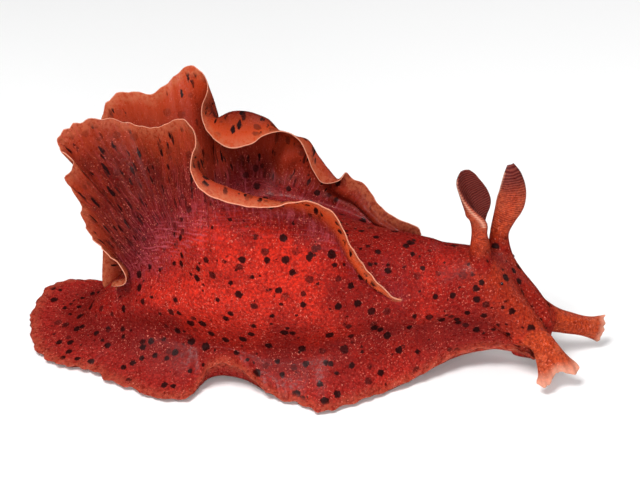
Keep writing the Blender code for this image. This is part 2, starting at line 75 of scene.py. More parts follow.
# Columns of one half of the cage
SOLE_COLUMN = 3
MARGIN_COLUMN = 5
CREASE_COLUMN = 10
ROOT_OUTER_COLUMN = 14
ROOT_INNER_COLUMN = 15
BACK_COLUMN = 19
# The chin and the lid over the front of the foot are this many columns wide
LID_COLUMNS = 3
LOW_COLUMNS = (0, *range(2, ROOT_OUTER_COLUMN + 1))
BACK_COLUMNS = range(ROOT_INNER_COLUMN, BACK_COLUMN + 1)
ALL_COLUMNS = (0, *range(2, BACK_COLUMN + 1))
HEAD_COLUMNS = range(CREASE_COLUMN - LID_COLUMNS, BACK_COLUMN + 1)
FOOT_COLUMNS = (0, *range(2, CREASE_COLUMN + LID_COLUMNS + 1))

# How far out from the sole's middle its columns lie, and how far they rise with the margin
SOLE_SHARES = (0, 0.36, 0.66, 0.88)
SOLE_LIFTS = (0, 0, 0.12, 0.45)
# How far the margin stands above a sole that is pressed flat
FLAT_MARGIN = 3
# Where the skirt bends between the crease and the margin
KNEE_SHARE = 0.42
KNEE_RISE = 0.3
# The foot's rounded margin: half its thickness, and how far its upper and lower edges are set in
MARGIN_HALF = 0.9
MARGIN_INSET = 1.6

# Where the flank is widest, and how quickly the back rounds in from the flap's root
WIDEST = 0.55
ROOT_DROP = 0.6
BACK_ROUNDING = 2.2
# Behind and in front of the parapodia the section turns, over these rows, into a plain arch, on which the
# flank and the flap's root lie at these shares of the way from the crease to the middle of the back
ARCH_BEHIND = (2, 7)
ARCH_AHEAD = (53, 58)
ARCH_FLANK = 0.3
ARCH_ROOT = 0.66
# How the skin rises round the rhinophores' roots: how high, how far round, and over which heights it starts
BROW_RISE = {RIGHT: 3, LEFT: 1}
BROW_REACH = 11
BROW_HEIGHTS = (30, 50)

# The strip that carries a parapodium, and how it narrows towards its two ends
ROOT_HALF = 2.1
ROOT_END_HALF = 0.8
ROOT_TAPER_ROWS = 6
# A parapodium's thickness at its margin, and how quickly it thins from its root
FLAP_TOP_THICKNESS = 0.6
FLAP_THINNING = 1.5
# From the root to the margin, closest together at the margin, where the pale edge is
FLAP_SHARES = (0, 0.125, 0.25, 0.375, 0.5, 0.625, 0.75, 0.87, 0.965, 1)
# A parapodium's two ends sink into the skin over this many rows, to this share of their height
FADE_ROWS = 1.6
END_HEIGHT = 0.12
# The least reach of the curve that shapes a parapodium, and its reach at the root for a full curl
LEAST_HANDLE = 0.36
ROOT_HANDLE = 0.6
# The valley along a parapodium's outer side and the swelling below it: how far out, where above the
# valley's line and how wide, as shares of the height, and how both fade near the root and the margin
VALLEY_DIP = (-3.2, 0.03, 0.13)
SWELLING = (2.0, -0.24, 0.15)
ROOT_FADE = 0.2
MARGIN_FADE = 0.3
# Steps to the neighbouring points that give a surface its direction
ROW_STEP = 0.2
SHARE_STEP = 0.04
FEELER_STEP = 0.02
LENGTHS_PER_ROW = 10

# row, x, y, fan angle, crease half width and height, flank half width and height,
# flap root half width and height, back height, sole lift
BODY = (
    (0, -112, -5, 0, 17, 12, 11, 18, 6, 24, 27, 0),
    (4, -110, -5, 50, 18, 13, 13, 21, 7, 27, 30, 0),
    (7, -107, -5, 90, 21, 16, 18, 25, 9, 32, 34, 0),
    (14, -92, -5, 90, 28, 20, 29, 34, 18, 46, 48, 0),
    (21, -75, -4, 90, 33, 21, 38, 42, 29, 56, 58, 0),
    (31, -46, -4, 90, 40, 21, 49, 46, 46, 62, 63, 0),
    (37, -24, -4, 90, 42, 21, 52, 47, 49, 63, 64, 0),
    (44, 4, -4, 90, 41, 23, 49, 44, 45, 60, 66, 0),
    (49, 25, -4, 90, 36, 27, 40, 43, 37, 55, 68, 0),
    (53, 46, -4, 90, 28, 29, 31, 40, 29, 49, 68.5, 0),
    (59, 71, -4, 90, 20, 31, 24, 42, 19, 56, 66.5, 8),
    (64, 92, -4, 90, 17, 30, 21, 42, 16, 55, 62, 12.8),
)
# row, x, y, turn of the head, fan angle, then as BODY, and the height under the chin
HEAD = (
    (64, 92, -4, 0, 90, 17, 30, 21, 42, 16, 55, 62, 30),
    (67, 98, -6, -12, 112, 16.5, 25, 20, 37, 14, 49, 55.5, 24),
    (70, 104, -8, -18, 142, 15, 19, 17.5, 31, 12.5, 41, 46, 18),
    (73, 108, -9, -18, 168, 13, 14, 15, 24, 10.5, 31, 35, 13),
    (74, 108, -9, -18, 180, 9, 14, 11, 22, 8.5, 30, 34, 13),
)
# row, x, y, fan angle, crease half width and height, middle height, sole lift
FOOT_FRONT = (
    (64, 92, -4, 90, 17, 30, 30, 12.8),
    (67, 98.5, -5, 118, 13, 19.5, 20.5, 11),
    (70, 103, -8, 180, 8, 11.5, 14, 5),
)
# row, x, y, z of the foot's margin on each side
FOOT_MARGIN = {
    RIGHT: (
        (0, -157.5, -9, 6.5),
        (3, -149.5, -31, 3),
        (6, -135, -45, 2.5),
        (8.5, -123, -48, 3),
        (11, -111, -51, 2.5),
        (13.5, -102, -58, 2),
        (16, -91, -62, 2.5),
        (19, -82, -67, 2),
        (22, -70, -70, 2),
        (25, -58, -68, 2.5),
        (27, -54, -59, 5),
        (29, -50, -56, 12),
        (31.5, -43, -55, 16),
        (34, -32, -56, 13),
        (36, -23, -59, 7),
        (38, -15, -62, 3),
        (40.5, -6, -64, 2),
        (43, 1, -66, 2),
        (45, 10, -71, 2),
        (47.5, 21, -64, 2),
        (50, 32, -56, 2.5),
        (53, 43, -46, 2.5),
        (56, 56, -36, 5),
        (60, 76, -21, 11),
        (64, 94, -17, 14),
        (67, 108, -16, 12),
        (70, 116, -10, 5),
    ),
    LEFT: (
        (0, -157.5, -9, 6.5),
        (2, -157.5, 5, 9),
        (4, -154, 19, 11),
        (6.5, -143, 26, 12),
        (11, -123, 30, 11),
        (16, -97, 43, 9),
        (21, -74, 52, 3),
        (26, -56, 57, 2),
        (31, -40, 56, 9),
        (36, -22, 58, 12),
        (40, -6, 62, 4),
        (44, 8, 62, 2),
        (48, 24, 54, 4),
        (52, 42, 42, 9),
        (56, 60, 29, 7),
        (60, 76, 16, 11),
        (64, 94, 9, 13),
        (67, 108, 3, 9),
        (70, 116, -10, 5),
    ),
}
# row, x, y, z of the parapodium's margin, how far it leans out at its root, how far its edge curls out,
# and how full the curl is
FLAP_MARGIN = {
    RIGHT: (
        (7, -108, -17, 40, 0, 0, 0.36),
        (8.4, -107, -25, 40, -40, 60, 0.4),
        (9.6, -97, -29, 45, -50, 70, 0.45),
        (10.6, -102, -23, 52, -40, 60, 0.4),
        (11.8, -112, -16, 56, -15, 40, 0.36),
        (13, -121, -12, 66, -10, 30, 0.36),
        (14.6, -123, -11, 76, -20, 20, 0.36),
        (15.5, -126, -9, 83, -20, 10, 0.36),
        (16.4, -132, -6, 89, -20, 10, 0.36),
        (17.2, -130, -7, 95, -20, 10, 0.36),
        (18, -125, -8, 100.5, -20, 10, 0.36),
        (18.8, -131, -5, 103, -20, 10, 0.36),
        (19.8, -136.5, -1, 109, -20, 10, 0.36),
        (21.5, -128, 1, 118, -15, 5, 0.36),
        (23.4, -113, 5, 121, -10, 5, 0.36),
        (25.2, -99, 5, 119, 0, 5, 0.36),
        (27.3, -83, -6, 123, 20, 10, 0.36),
        (29.2, -67, -17, 134, 30, 20, 0.36),
        (30.9, -57, -32, 131, 25, 60, 0.36),
        (32.8, -57, -47, 124, 20, 90, 0.42),
        (34.6, -51, -58, 118, 5, 105, 0.55),
        (37.2, -38, -58, 111, -5, 110, 0.6),
        (40.1, -19, -54, 107, -10, 95, 0.6),
        (43.3, 1, -49, 109, -14, 60, 0.5),
        (45.4, 14, -48, 102, -14, 45, 0.42),
        (47.9, 22, -45, 83, -12, 40, 0.4),
        (51, 35, -40, 61, 0, 30, 0.36),
        (53, 47, -36, 49, 0, 0, 0.36),
    ),
    LEFT: (
        (7, -110, 4, 38, 0, 0, 0.36),
        (8.2, -118, 2, 19, 10, 10, 0.36),
        (9.4, -119, 6, 38, 10, 10, 0.36),
        (12, -121, 24, 70, 10, 10, 0.36),
        (14.5, -124, 34, 92, 10, 10, 0.36),
        (17, -121, 44, 113, 5, 0, 0.36),
        (18.6, -110, 50, 117, 5, 0, 0.36),
        (20, -100, 52, 115, 5, 0, 0.36),
        (21.5, -92, 60, 119, 5, 10, 0.36),
        (22.9, -86, 66, 124, 5, 10, 0.36),
        (24, -79, 66, 128, 10, 0, 0.4),
        (25.2, -69.5, 60.5, 121, 10, -58, 0.7),
        (26.8, -71, 47, 110, 10, -95, 0.92),
        (28.7, -64, 36, 102, 18, -102, 0.95),
        (30.3, -54, 31, 98, 22, -108, 1.35),
        (32.1, -43, 33, 99, 30, -105, 1.25),
        (34, -33, 40, 103, 30, -80, 1.0),
        (35.4, -23, 44, 102, 15, -60, 0.55),
        (36.8, -15, 42, 96, 15, -90, 0.8),
        (38.4, -10, 38, 86, 15, -100, 1.0),
        (40, -3, 35, 78, 25, -100, 1.0),
        (41.3, 5, 37, 79, 20, -60, 0.55),
        (42.3, 8, 41, 82, 10, 0, 0.36),
        (43.6, 11, 42, 78, 10, 20, 0.36),
        (45.4, 18, 42, 75, 10, 10, 0.36),
        (48.4, 29, 34, 65, 10, 0, 0.36),
        (51, 44, 26, 61, 5, 0, 0.36),
        (52.2, 58, 22, 59.5, 0, 0, 0.36),
        (53, 66, 20, 57, 0, 0, 0.36),
    ),
}
# row, and the share of a parapodium's height at which the valley runs along its outer side
VALLEY = (
    (7, 0.1),
    (13, 0.06),
    (19, 0.08),
    (27.5, 0.3),
    (34.4, 0.45),
    (40, 0.53),
    (43, 0.55),
    (47, 0.47),
    (51, 0.2),
    (53, 0.05),
)
# row, and how orange a parapodium is near its margin; the left one's higher values also stand for painted
# light on its shaded inner side
GLOW = {
    RIGHT: ((7, 0.3), (20, 0.25), (28, 0.4), (36, 0.7), (45, 1), (53, 0.9)),
    LEFT: ((7, 0.3), (24, 0.85), (35, 0.85), (42, 0.2), (53, 0)),
}
# The share of that on the inner face, where it also scales the orange painted light on the shaded inner
# face
INNER_GLOW = 0.7
# share of the length, x, y, z, half width, half depth, how far the groove opens
RHINOPHORE = {
    RIGHT: (
        (0, 84, -8.5, 50, 11, 11, 0),
        (0.16, 83.6, -10, 61, 7.2, 6.8, 0),
        (0.34, 83.7, -12.3, 73, 5, 4.9, 0),
        (0.5, 84.4, -13, 83, 6, 5.8, 0.8),
        (0.63, 85, -14, 91.5, 8.4, 9.6, 1.4),
        (0.76, 80.8, -14.8, 99.5, 7.8, 8, 1.5),
        (0.88, 76.6, -15.6, 107, 6.3, 4.6, 1.5),
        (0.96, 74.8, -16.2, 112.4, 4.6, 2.8, 1.4),
        (1, 74.6, -16.4, 115.4, 1.8, 1.2, 0.8),
    ),
    LEFT: (
        (0, 93.5, 7, 48, 10, 10, 0),
        (0.16, 92.5, 8, 58, 6.6, 6.2, 0),
        (0.34, 92.6, 9, 69, 5, 4.7, 0),
        (0.5, 94.8, 10, 77.5, 6, 4.3, 0.7),
        (0.63, 97, 10.6, 84, 7.4, 4.2, 1.5),
        (0.76, 98, 11.1, 91, 7.4, 3.9, 1.7),
        (0.88, 97.6, 11.6, 98, 6, 3.2, 1.6),
        (0.96, 96.8, 12.1, 103.7, 3.7, 2.2, 1.4),
        (1, 96.1, 12.5, 106.7, 1.5, 1.2, 0.8),
    ),
}
ORAL_TENTACLE = {
    RIGHT: (
        (0, 99, -14, 38, 6, 6, 0),
        (0.25, 107, -18, 33, 7.4, 6.6, 0),
        (0.5, 115.8, -21.8, 26.3, 7, 5.6, 0.3),
        (0.7, 120.4, -25.2, 20.5, 6.8, 4.4, 0.9),
        (0.86, 123.6, -27.6, 15.5, 8.6, 3.4, 1.4),
        (0.95, 125.4, -29, 12.4, 11.4, 2.8, 1.6),
        (1, 126.2, -29.6, 10.6, 12.4, 2.4, 1.6),
    ),
    LEFT: (
        (0, 108, -4, 30, 7.5, 7.5, 0),
        (0.25, 117, 1, 24.5, 7.6, 7, 0),
        (0.5, 130, 7, 18.8, 6, 5.6, 0.3),
        (0.7, 138.6, 11, 15.2, 5.4, 4.6, 0.8),
        (0.86, 144.4, 14, 12.8, 6.2, 3.8, 1.3),
        (1, 149.4, 16.8, 11, 8, 3, 1.6),
    ),
}
# The ways in which the grooves open, at their lower ends and at the tips
RHINOPHORE_GROOVE = {
    RIGHT: (Vector((1, 0.25, 0)), Vector((0.35, -0.85, 0.35))),
    LEFT: (Vector((0.1, 1, 0)), Vector((-0.5, 0.8, 0.1))),
}
TENTACLE_GROOVE = {
    RIGHT: (Vector((0.1, 0.9, -0.3)), Vector((-0.33, 0.75, -0.45))),
    LEFT: (Vector((0, 1, -0.3)), Vector((-0.3, 0.9, -0.25))),
}
# Where each feeler grows from the skin: the lowest and highest row and column of the opening, and the
# share of the feeler's length that lies inside the head
RHINOPHORE_HOLES = {RIGHT: (61, 64, 16, 19), LEFT: (63, 66, 15, 18)}
TENTACLE_HOLES = {RIGHT: (68, 72, 9, 13), LEFT: (67, 71, 9, 13)}
RHINOPHORE_START = {RIGHT: 0.17, LEFT: 0.2}
TENTACLE_START = {RIGHT: 0.56, LEFT: 0.36}
RHINOPHORE_RINGS = 15
TENTACLE_RINGS = 9
FEELER_SIDES = 16
LIP_ROUNDING = 1.3
# Where along a feeler its groove starts to turn to the way that it has at the tip
TURN_SHARE = 0.4
# How far the corners of a tentacle's spread tip reach past its middle, where along it and how far across
# they start, and how they are rounded and bent back
TIP_HOLLOW = {RIGHT: 5, LEFT: -0.5}
SPREAD_SHARE = 0.8
CORNER_ACROSS = (0.1, 0.6)
CORNER_ROUNDING = 0.55
CORNER_BEND = 0.4
# Where along a tentacle its edge starts to grow in ripples
GROWTH_SHARE = 0.88
# How far open a groove has to be for its lips to be free edges
OPEN_GROOVE = 0.2
# The tip of a rhinophore isn't a pale edge: it is marked as this far from one
HORN_RIM = 6
LENGTH_STEPS = 20
# A feeler's mark, table, groove ways, start, rings and tip's hollow
Feeler = namedtuple("Feeler", "mark table groove start rings hollow")
FEELERS = {
    side: (
        Feeler(
            "horn",
            RHINOPHORE[side],
            RHINOPHORE_GROOVE[side],
            RHINOPHORE_START[side],
            RHINOPHORE_RINGS,
            0.0,
        ),
        Feeler(
            "tentacle",
            ORAL_TENTACLE[side],
            TENTACLE_GROOVE[side],
            TENTACLE_START[side],
            TENTACLE_RINGS,
            TIP_HOLLOW[side],
        ),
    )
    for side in (RIGHT, LEFT)
}

# How near to a circle each opening is drawn, and the share of a feeler over which its root is smoothed
ROUNDING = 0.85
SMOOTH_ROOT = 0.11
SMOOTH_PASSES = 4
# The neck and head are smoothed from this row on
SMOOTH_ROW = 56

# share of the length, x, y, z, half width, half depth
SIPHON = (
    (0, -63.5, -6, 58, 8, 7),
    (0.3, -65, -6.5, 66, 6.2, 5.6),
    (0.6, -66.5, -7.3, 74, 5.4, 5),
    (0.85, -67.6, -8.2, 81, 6, 5.4),
    (1, -68, -8.8, 84.5, 7.6, 6.6),
)
SIPHON_LENGTH = 26
SIPHON_RINGS = 12
SIPHON_BORE_RINGS = 4
SIPHON_SIDES = 20
SIPHON_WALL = 1.2
# How deep the bore is, as a share of the length
SIPHON_DEPTH = 0.35
# The frill round its mouth: how many waves, how far out, how far up as a share of that, and where it starts
SIPHON_FRILLS = 5
SIPHON_FRILL = 0.9
SIPHON_FRILL_RISE = 0.8
SIPHON_FRILL_START = 0.7

# The mantle, a low oval dome on the back
MANTLE_ROWS = (23, 43)
MANTLE_COLUMNS = 16
MANTLE_SPREAD = 0.78
# How square the oval is, and how wide it still is at its ends
MANTLE_SQUARENESS = 2.6
MANTLE_END = 0.06
MANTLE_HEIGHT = 4.5
# Its free edge: how far over the back, how thick, how high it waves, how far the wave turns in a row, and
# how long a row is
MANTLE_RIM = 0.8
MANTLE_EDGE = 1.2
MANTLE_FRILL = 0.5
MANTLE_FRILL_TURN = 2.1
MANTLE_ROW_LENGTH = 2.5

# An eye: its radius, how deep it is sunk as a share of that, its row and column, how far out the search
# for the skin starts, and its segments around and up
EYE_RADIUS = 0.9
EYE_SINK = 0.35
EYE_PLACE = (65.5, 16.4)
EYE_SEARCH = 4
EYE_SEGMENTS = (24, 16)

# Marks that ride on the cage's points and steer the ripples and the colours
NUMBER_MARKS = (
    "glow",  # how orange a parapodium is near its margin, partly painted light on shaded inner faces
    "above",  # height over the valley of the parapodia, below 0 on the flank and the back
    "foot",  # 1 on the foot
    "hollow",  # 1 in the crease between the foot and the flank, where shade is painted
    "ease",  # 1 where the cage is smoothed
    "warm",  # how orange the head is
    "rear",  # 1 on the brown rear fans
    "rim",  # millimetres from a free edge
    "flap",  # how far out along a parapodium, from 0 to 1
    "horn",  # how far out along a rhinophore
    "tentacle",  # how far out along an oral tentacle
    "inner",  # 1 on inner faces and in grooves
)
WAY_MARKS = (
    "flow",  # along and across the form, in millimetres, with the two sides far apart
    "lift",  # the way in which a free edge ripples
    "spread",  # the way in which it grows
)
FAR_FROM_RIM = 40
SIDE_APART = 50
# The flow of the body and the head starts below the roots of the parapodia, and the head's far ahead
BODY_FLOW = -20
HEAD_FLOW = 350
# The foot's margin ripples this far in
FOOT_RIPPLE_REACH = 14
# Between these rows the fine ruffles of a parapodium's margin lose this share of their size
RUFFLES_FADE = {RIGHT: (20, 30), LEFT: (17, 25)}
RUFFLES_LOST = 0.8
# How many rows from a parapodium's rear end they start and are full
RUFFLES_START = (2.5, 7)
# How finely a parapodium is measured from its root to its margin, the share of its height above which it
# shows the way in which its margin grows, and the least share at which its face has a direction
FLAP_MEASURES = 6
NEAR_MARGIN = 0.94
NEAR_ROOT = 0.02
# Between these rows the brown of the rear fan turns to the red of the front
FAN_FADE = {RIGHT: (26, 36), LEFT: (24, 44)}
# How the height over the valley falls, in a column of the back, of the flank, and in a row past the flaps
BACK_FALL = 0.08
FLANK_FALL = 0.06
ROW_FALL = 0.1
LEAST_ABOVE = -0.4
HEAD_ABOVE = -0.3
# The orange of the head is strongest on the line from a rhinophore's root to the oral tentacle
WARM_LINE = {
    RIGHT: (Vector((86, -12, 55)), Vector((112, -20, 30))),
    LEFT: (Vector((93, 7, 52)), Vector((120, 2, 24))),
}
WARM_REACH = 9
# The crease's shade: how many columns wide, and how it fades towards the head
CREASE_SHADE_COLUMNS = 3
CREASE_FADE_ROWS = (60, 66)
CREASE_FADE = 0.6

# Waves along the free edges, which fold them up and down and draw them out: height, length and seed
FLAP_FOLDS = ((1.1, 13, 0), (0.5, 6.5, 3))
FLAP_SCALLOPS = ((1.1, 9, 5), (0.15, 4.6, 9))
FLAP_GROWTH = 1.3
FOOT_RISE = 0.5
FOOT_FOLD = 0.9
FOOT_WAVE = 12
FOOT_LEAST_WAVE = -0.4
FOOT_SCALLOPS = ((0.9, 10, 5), (0.3, 5, 9))
TENTACLE_FOLD = 0.7
TENTACLE_WAVE = 4.2
TENTACLE_SCALLOPS = ((0.6, 3.7, 5),)
# An uneven wave's drift along the margin and the changes of its height, each over several lengths
DRIFT = 0.8
DRIFT_LENGTHS = 3
SWELL = (0.7, 0.5)
SWELL_LENGTHS = 2.2
LEAST_WAY = 1e-6
# Subdivisions of the skin and the siphon, and of the mantle
FINE, COARSE = 2, 1
# The shares of the way by which a cage is drawn out so that its smooth surface passes through its points
PULLS = (0.9, 0.6)

# The place in the tables' frame round which a painted highlight brightens the flank
PAINTED_HIGHLIGHT_PLACE = (-38, -44, 62)
# The flank's bright red, laid on in random patches and, round the bulge, as a painted highlight; away from
# the bulge the deep red shows more, as painted shade
FLANK_BRIGHT = (0.50, 0.018, 0.007)
FLANK_DEEP = (0.23, 0.007, 0.004)
FLAP_RED = (0.20, 0.009, 0.004)
FLAP_BROWN = (0.06, 0.005, 0.002)
FLAP_ORANGE = (0.16, 0.012, 0.003)
FAN_DARK = (0.055, 0.004, 0.002)
# An orange for the inner faces of the parapodia: their own orange, brightened as painted light where they
# lie in shade
INNER_ORANGE_PAINTED_LIGHT = (0.38, 0.034, 0.012)
MARGIN_ORANGE = (0.42, 0.045, 0.010)
FEELER_ORANGE = (0.44, 0.048, 0.011)
TAN = (0.44, 0.12, 0.055)
PALE_RIM = (0.62, 0.27, 0.18)
TIP_PALE = (0.66, 0.32, 0.22)
MAUVE = (0.33, 0.05, 0.065)
# A dark red laid along the valley of the parapodia as painted shade
VALLEY_SHADE = (0.075, 0.004, 0.007)
PALE_GRAIN = (0.74, 0.19, 0.13)
SPOT_BLACK = (0.012, 0.002, 0.002)
CLUB_DARK = (0.06, 0.006, 0.007)
FOOT_ROSE = (0.34, 0.019, 0.014)
# A dark red for the dark mottle and grain, and for the painted shade in the crease over the foot
MOTTLE_AND_SHADE_DARK = (0.085, 0.004, 0.004)
MANTLE_MAUVE = (0.30, 0.05, 0.055)
MANTLE_DEEP = (0.10, 0.012, 0.015)
EYE_BLACK = (0.006, 0.004, 0.006)
EYE_BROWN = (0.02, 0.012, 0.016)
FLOOR_PALE = (0.9, 0.9, 0.9)

# The camera's aim and distance in the tables' frame, its angle in degrees, and its lens
CAMERA_TARGET = Vector((0, 0, 62))
CAMERA_DISTANCE = 927
CAMERA_AZIMUTH = 8
CAMERA_ELEVATION = 28
CAMERA_LENS = 100
CAMERA_SENSOR = 36
# In metres, like the places and sizes of the lights
FLOOR_HALF = 6
LIT_POINT = Vector((0, 0, 0.06))


def along(table, row):
    """The smooth values of a table at a row, by a cubic between its neighbours."""
    last = len(table) - 1
    i = 0
    while i < last - 1 and row > table[i + 1][0]:
        i += 1
    start, end = table[i], table[i + 1]
    span = end[0] - start[0]
    t = min(max((row - start[0]) / span, 0.0), 1.0)

    def slopes(k):
        before, after = table[max(k - 1, 0)], table[min(k + 1, last)]
        return [(b - a) / (after[0] - before[0]) for a, b in zip(before[1:], after[1:])]

    values = []
    for a, b, m, n in zip(start[1:], end[1:], slopes(i), slopes(i + 1)):
        rise = (1 + 2 * t) * (1 - t) ** 2 * a + t * t * (3 - 2 * t) * b
        values.append(rise + t * (1 - t) ** 2 * span * m - t * t * (1 - t) * span * n)
    return values


def sideways(side, fan, turn=0.0):
    """The level direction in which a row runs out from the spine: 0 is back, 90 sideways, 180 forward."""
    x = -math.cos(math.radians(fan))
    y = side * math.sin(math.radians(fan))
    c, s = math.cos(math.radians(turn)), math.sin(math.radians(turn))
    return Vector((x * c - y * s, x * s + y * c, 0))


def smooth(low, high, value):
    """0 below low, 1 above high, and a smooth rise between."""
    t = min(max((value - low) / (high - low), 0.0), 1.0)
    return t * t * (3 - 2 * t)


def hump(value, height, middle, width):
    """A smooth rise to a height round a middle value."""
    return height * math.exp(-(((value - middle) / width) ** 2))


def sole_and_skirt(column, middle, margin, crease):
    """The foot: its sole, the rounded margin and the skirt that rises to the crease."""
    inward = Vector((middle.x - margin.x, middle.y - margin.y, 0)).normalized() * MARGIN_INSET
    if column <= SOLE_COLUMN:
        lift = max(margin.z - FLAT_MARGIN - middle.z, 0) * SOLE_LIFTS[column]
        point = middle.lerp(margin, SOLE_SHARES[column])
        return Vector((point.x, point.y, middle.z + lift))
    if column <= MARGIN_COLUMN + 1:
        step = column - MARGIN_COLUMN
        return margin + abs(step) * inward + Vector((0, 0, step * MARGIN_HALF))
    upper = margin + inward + Vector((0, 0, MARGIN_HALF))
    t = (column - MARGIN_COLUMN - 1) / (CREASE_COLUMN - MARGIN_COLUMN - 1)
    knee = crease.lerp(upper, KNEE_SHARE)
    knee.z = upper.z + KNEE_RISE * (crease.z - upper.z)
    return upper * (1 - t) ** 2 + knee * 2 * t * (1 - t) + crease * t * t


def root_half(row):
    """Half the width of the strip that carries a parapodium, narrower towards its two ends."""
    inside = min(row - FLAP_REAR_ROW, FLAP_FRONT_ROW - row) / ROOT_TAPER_ROWS
    return ROOT_END_HALF + (ROOT_HALF - ROOT_END_HALF) * smooth(0, 1, inside)


def brow(point):
    """How far the skin rises round the roots of the rhinophores."""
    rise = 0
    for side, height in BROW_RISE.items():
        away = point.xy - Vector(RHINOPHORE[side][0][1:3])
        rise += height * math.exp(-away.length_squared / BROW_REACH**2)
    return rise


def flank_and_back(row, column, spine, out, sizes):
    """The upper body, from the crease over the flank and the flap's root to the middle of the back."""
    crease_w, crease_z, flank_w, flank_z, root_w, root_z, back_z = sizes
    half = root_half(row)
    arch = (
        (0, crease_w, crease_z),
        (ARCH_FLANK, flank_w, flank_z),
        (ARCH_ROOT, root_w, root_z),
        (1, 0, back_z),
        (2 - ARCH_ROOT, -root_w, root_z),
    )
    round_wide, round_high = along(arch, (column - CREASE_COLUMN) / (BACK_COLUMN - CREASE_COLUMN))
    roundness = max(smooth(*ARCH_AHEAD, row), 1 - smooth(*ARCH_BEHIND, row))
    if column <= ROOT_OUTER_COLUMN:
        wall = (
            (0, crease_w, crease_z),
            (WIDEST, flank_w, flank_z),
            (1, root_w + half, root_z - ROOT_DROP * half),
        )
        t = (column - CREASE_COLUMN) / (ROOT_OUTER_COLUMN - CREASE_COLUMN)
        wide, high = along(wall, t)
    else:
        t = (BACK_COLUMN - column) / (BACK_COLUMN - ROOT_INNER_COLUMN)
        wide = (root_w - half) * t
        high = root_z + (back_z - root_z) * (1 - t**BACK_ROUNDING)
    wide += (round_wide - wide) * roundness
    high += (round_high - high) * roundness
    return Vector((spine.x, spine.y, high)) + out * wide


def foot_point(side, row, column):
    """The foot in front of the neck, with a lid that closes it below the chin."""
    x, y, fan, crease_w, crease_z, lid_z, lift = along(FOOT_FRONT, row)
    spine = Vector((x, y, lift))
    crease = Vector((x, y, crease_z)) + sideways(side, fan) * crease_w
    if column <= CREASE_COLUMN:
        return sole_and_skirt(column, spine, Vector(along(FOOT_MARGIN[side], row)), crease)
    return crease.lerp(Vector((spine.x, spine.y, lid_z)), (column - CREASE_COLUMN) / LID_COLUMNS)


def head_point(side, row, column):
    """The head. Its first columns are the chin."""
    x, y, turn, fan, *sizes, chin_z = along(HEAD, row)
    spine = Vector((x, y, 0))
    out = sideways(side, fan, turn)
    if column > CREASE_COLUMN:
        return flank_and_back(row, column, spine, out, sizes)
    crease = flank_and_back(row, CREASE_COLUMN, spine, out, sizes)
    middle = Vector((x, y, chin_z))
    return middle.lerp(crease, 1 - (CREASE_COLUMN - column) / LID_COLUMNS)


def body_point(side, row, column):
    """The foot and the body behind the head, and the head in rows past the neck."""
    if row > NECK_ROW:
        return head_point(side, row, column)
    x, y, fan, *sizes, lift = along(BODY, row)
    spine = Vector((x, y, max(lift, 0)))
    out = sideways(side, fan)
    if column > CREASE_COLUMN:
        return flank_and_back(row, column, spine, out, sizes)
    crease = flank_and_back(row, CREASE_COLUMN, spine, out, sizes)
    return sole_and_skirt(column, spine, Vector(along(FOOT_MARGIN[side], row)), crease)


def valley(row, share):
    """How far, as a share of its height, a point of a parapodium lies above the valley along its side."""
    return share - along(VALLEY, row)[0]


def flap_point(side, row, share):
    """A point of the parapodium's middle sheet, from its root at share 0 to its margin at share 1."""
    outer = body_point(side, row, ROOT_OUTER_COLUMN)
    inner = body_point(side, row, ROOT_INNER_COLUMN)
    root = outer.lerp(inner, 0.5)
    x, y, z, lean, curl, fullness = along(FLAP_MARGIN[side], row)
    margin = Vector((x, y, z))
    ends = smooth(0, FADE_ROWS, min(row - FLAP_REAR_ROW, FLAP_FRONT_ROW - row))
    margin = root + (margin - root) * (END_HEIGHT + (1 - END_HEIGHT) * ends)
    reach = margin - root
    up = reach.normalized()
    out = Vector((0, side, 0))
    out = (out - up * out.dot(up)).normalized()
    lean, curl = math.radians(lean), math.radians(curl)
    handle = max(LEAST_HANDLE, ROOT_HANDLE * fullness)
    first = root + handle * reach.length * (up * math.cos(lean) + out * math.sin(lean))
    second = margin - fullness * reach.length * (up * math.cos(curl) + out * math.sin(curl))
    t, s = share, 1 - share
    point = root * s**3 + first * 3 * t * s * s + second * 3 * t * t * s + margin * t**3
    above = valley(row, share)
    swell = hump(above, *SWELLING) + hump(above, *VALLEY_DIP)
    return point + Vector((0, side, 0)) * swell * ends * smooth(0, ROOT_FADE, t) * smooth(0, MARGIN_FADE, s)


def flap_normal(side, row, share):
    """The outward direction of the parapodium's middle sheet."""
    behind = flap_point(side, max(row - ROW_STEP, FLAP_REAR_ROW), share)
    ahead = flap_point(side, min(row + ROW_STEP, FLAP_FRONT_ROW), share)
    below = flap_point(side, row, max(share - SHARE_STEP, 0))
    above = flap_point(side, row, min(share + SHARE_STEP, 1))
    return side * (above - below).cross(ahead - behind).normalized()


def flap_face(side, row, share, face):
    """A point of the outer face (1) or the inner face (-1) of a parapodium."""
    if share <= 0:
        return body_point(side, row, ROOT_OUTER_COLUMN if face > 0 else ROOT_INNER_COLUMN)
    top = min(0.5 * FLAP_TOP_THICKNESS, root_half(row))
    half = top + (root_half(row) - top) * (1 - share) ** FLAP_THINNING
    return flap_point(side, row, share) + flap_normal(side, row, share) * half * face


def running_lengths(points):
    """How far along a line of points each one lies, in millimetres."""
    lengths = [0.0]
    for a, b in zip(points, points[1:]):
        lengths.append(lengths[-1] + (b - a).length)
    return lengths


def lengths_by_row(point_at):
    """A margin's running length at each tenth of a row, from the tail to the front of the foot."""
    steps = range(FOOT_END_ROW * LENGTHS_PER_ROW + 1)
    return running_lengths([point_at(i / LENGTHS_PER_ROW) for i in steps])


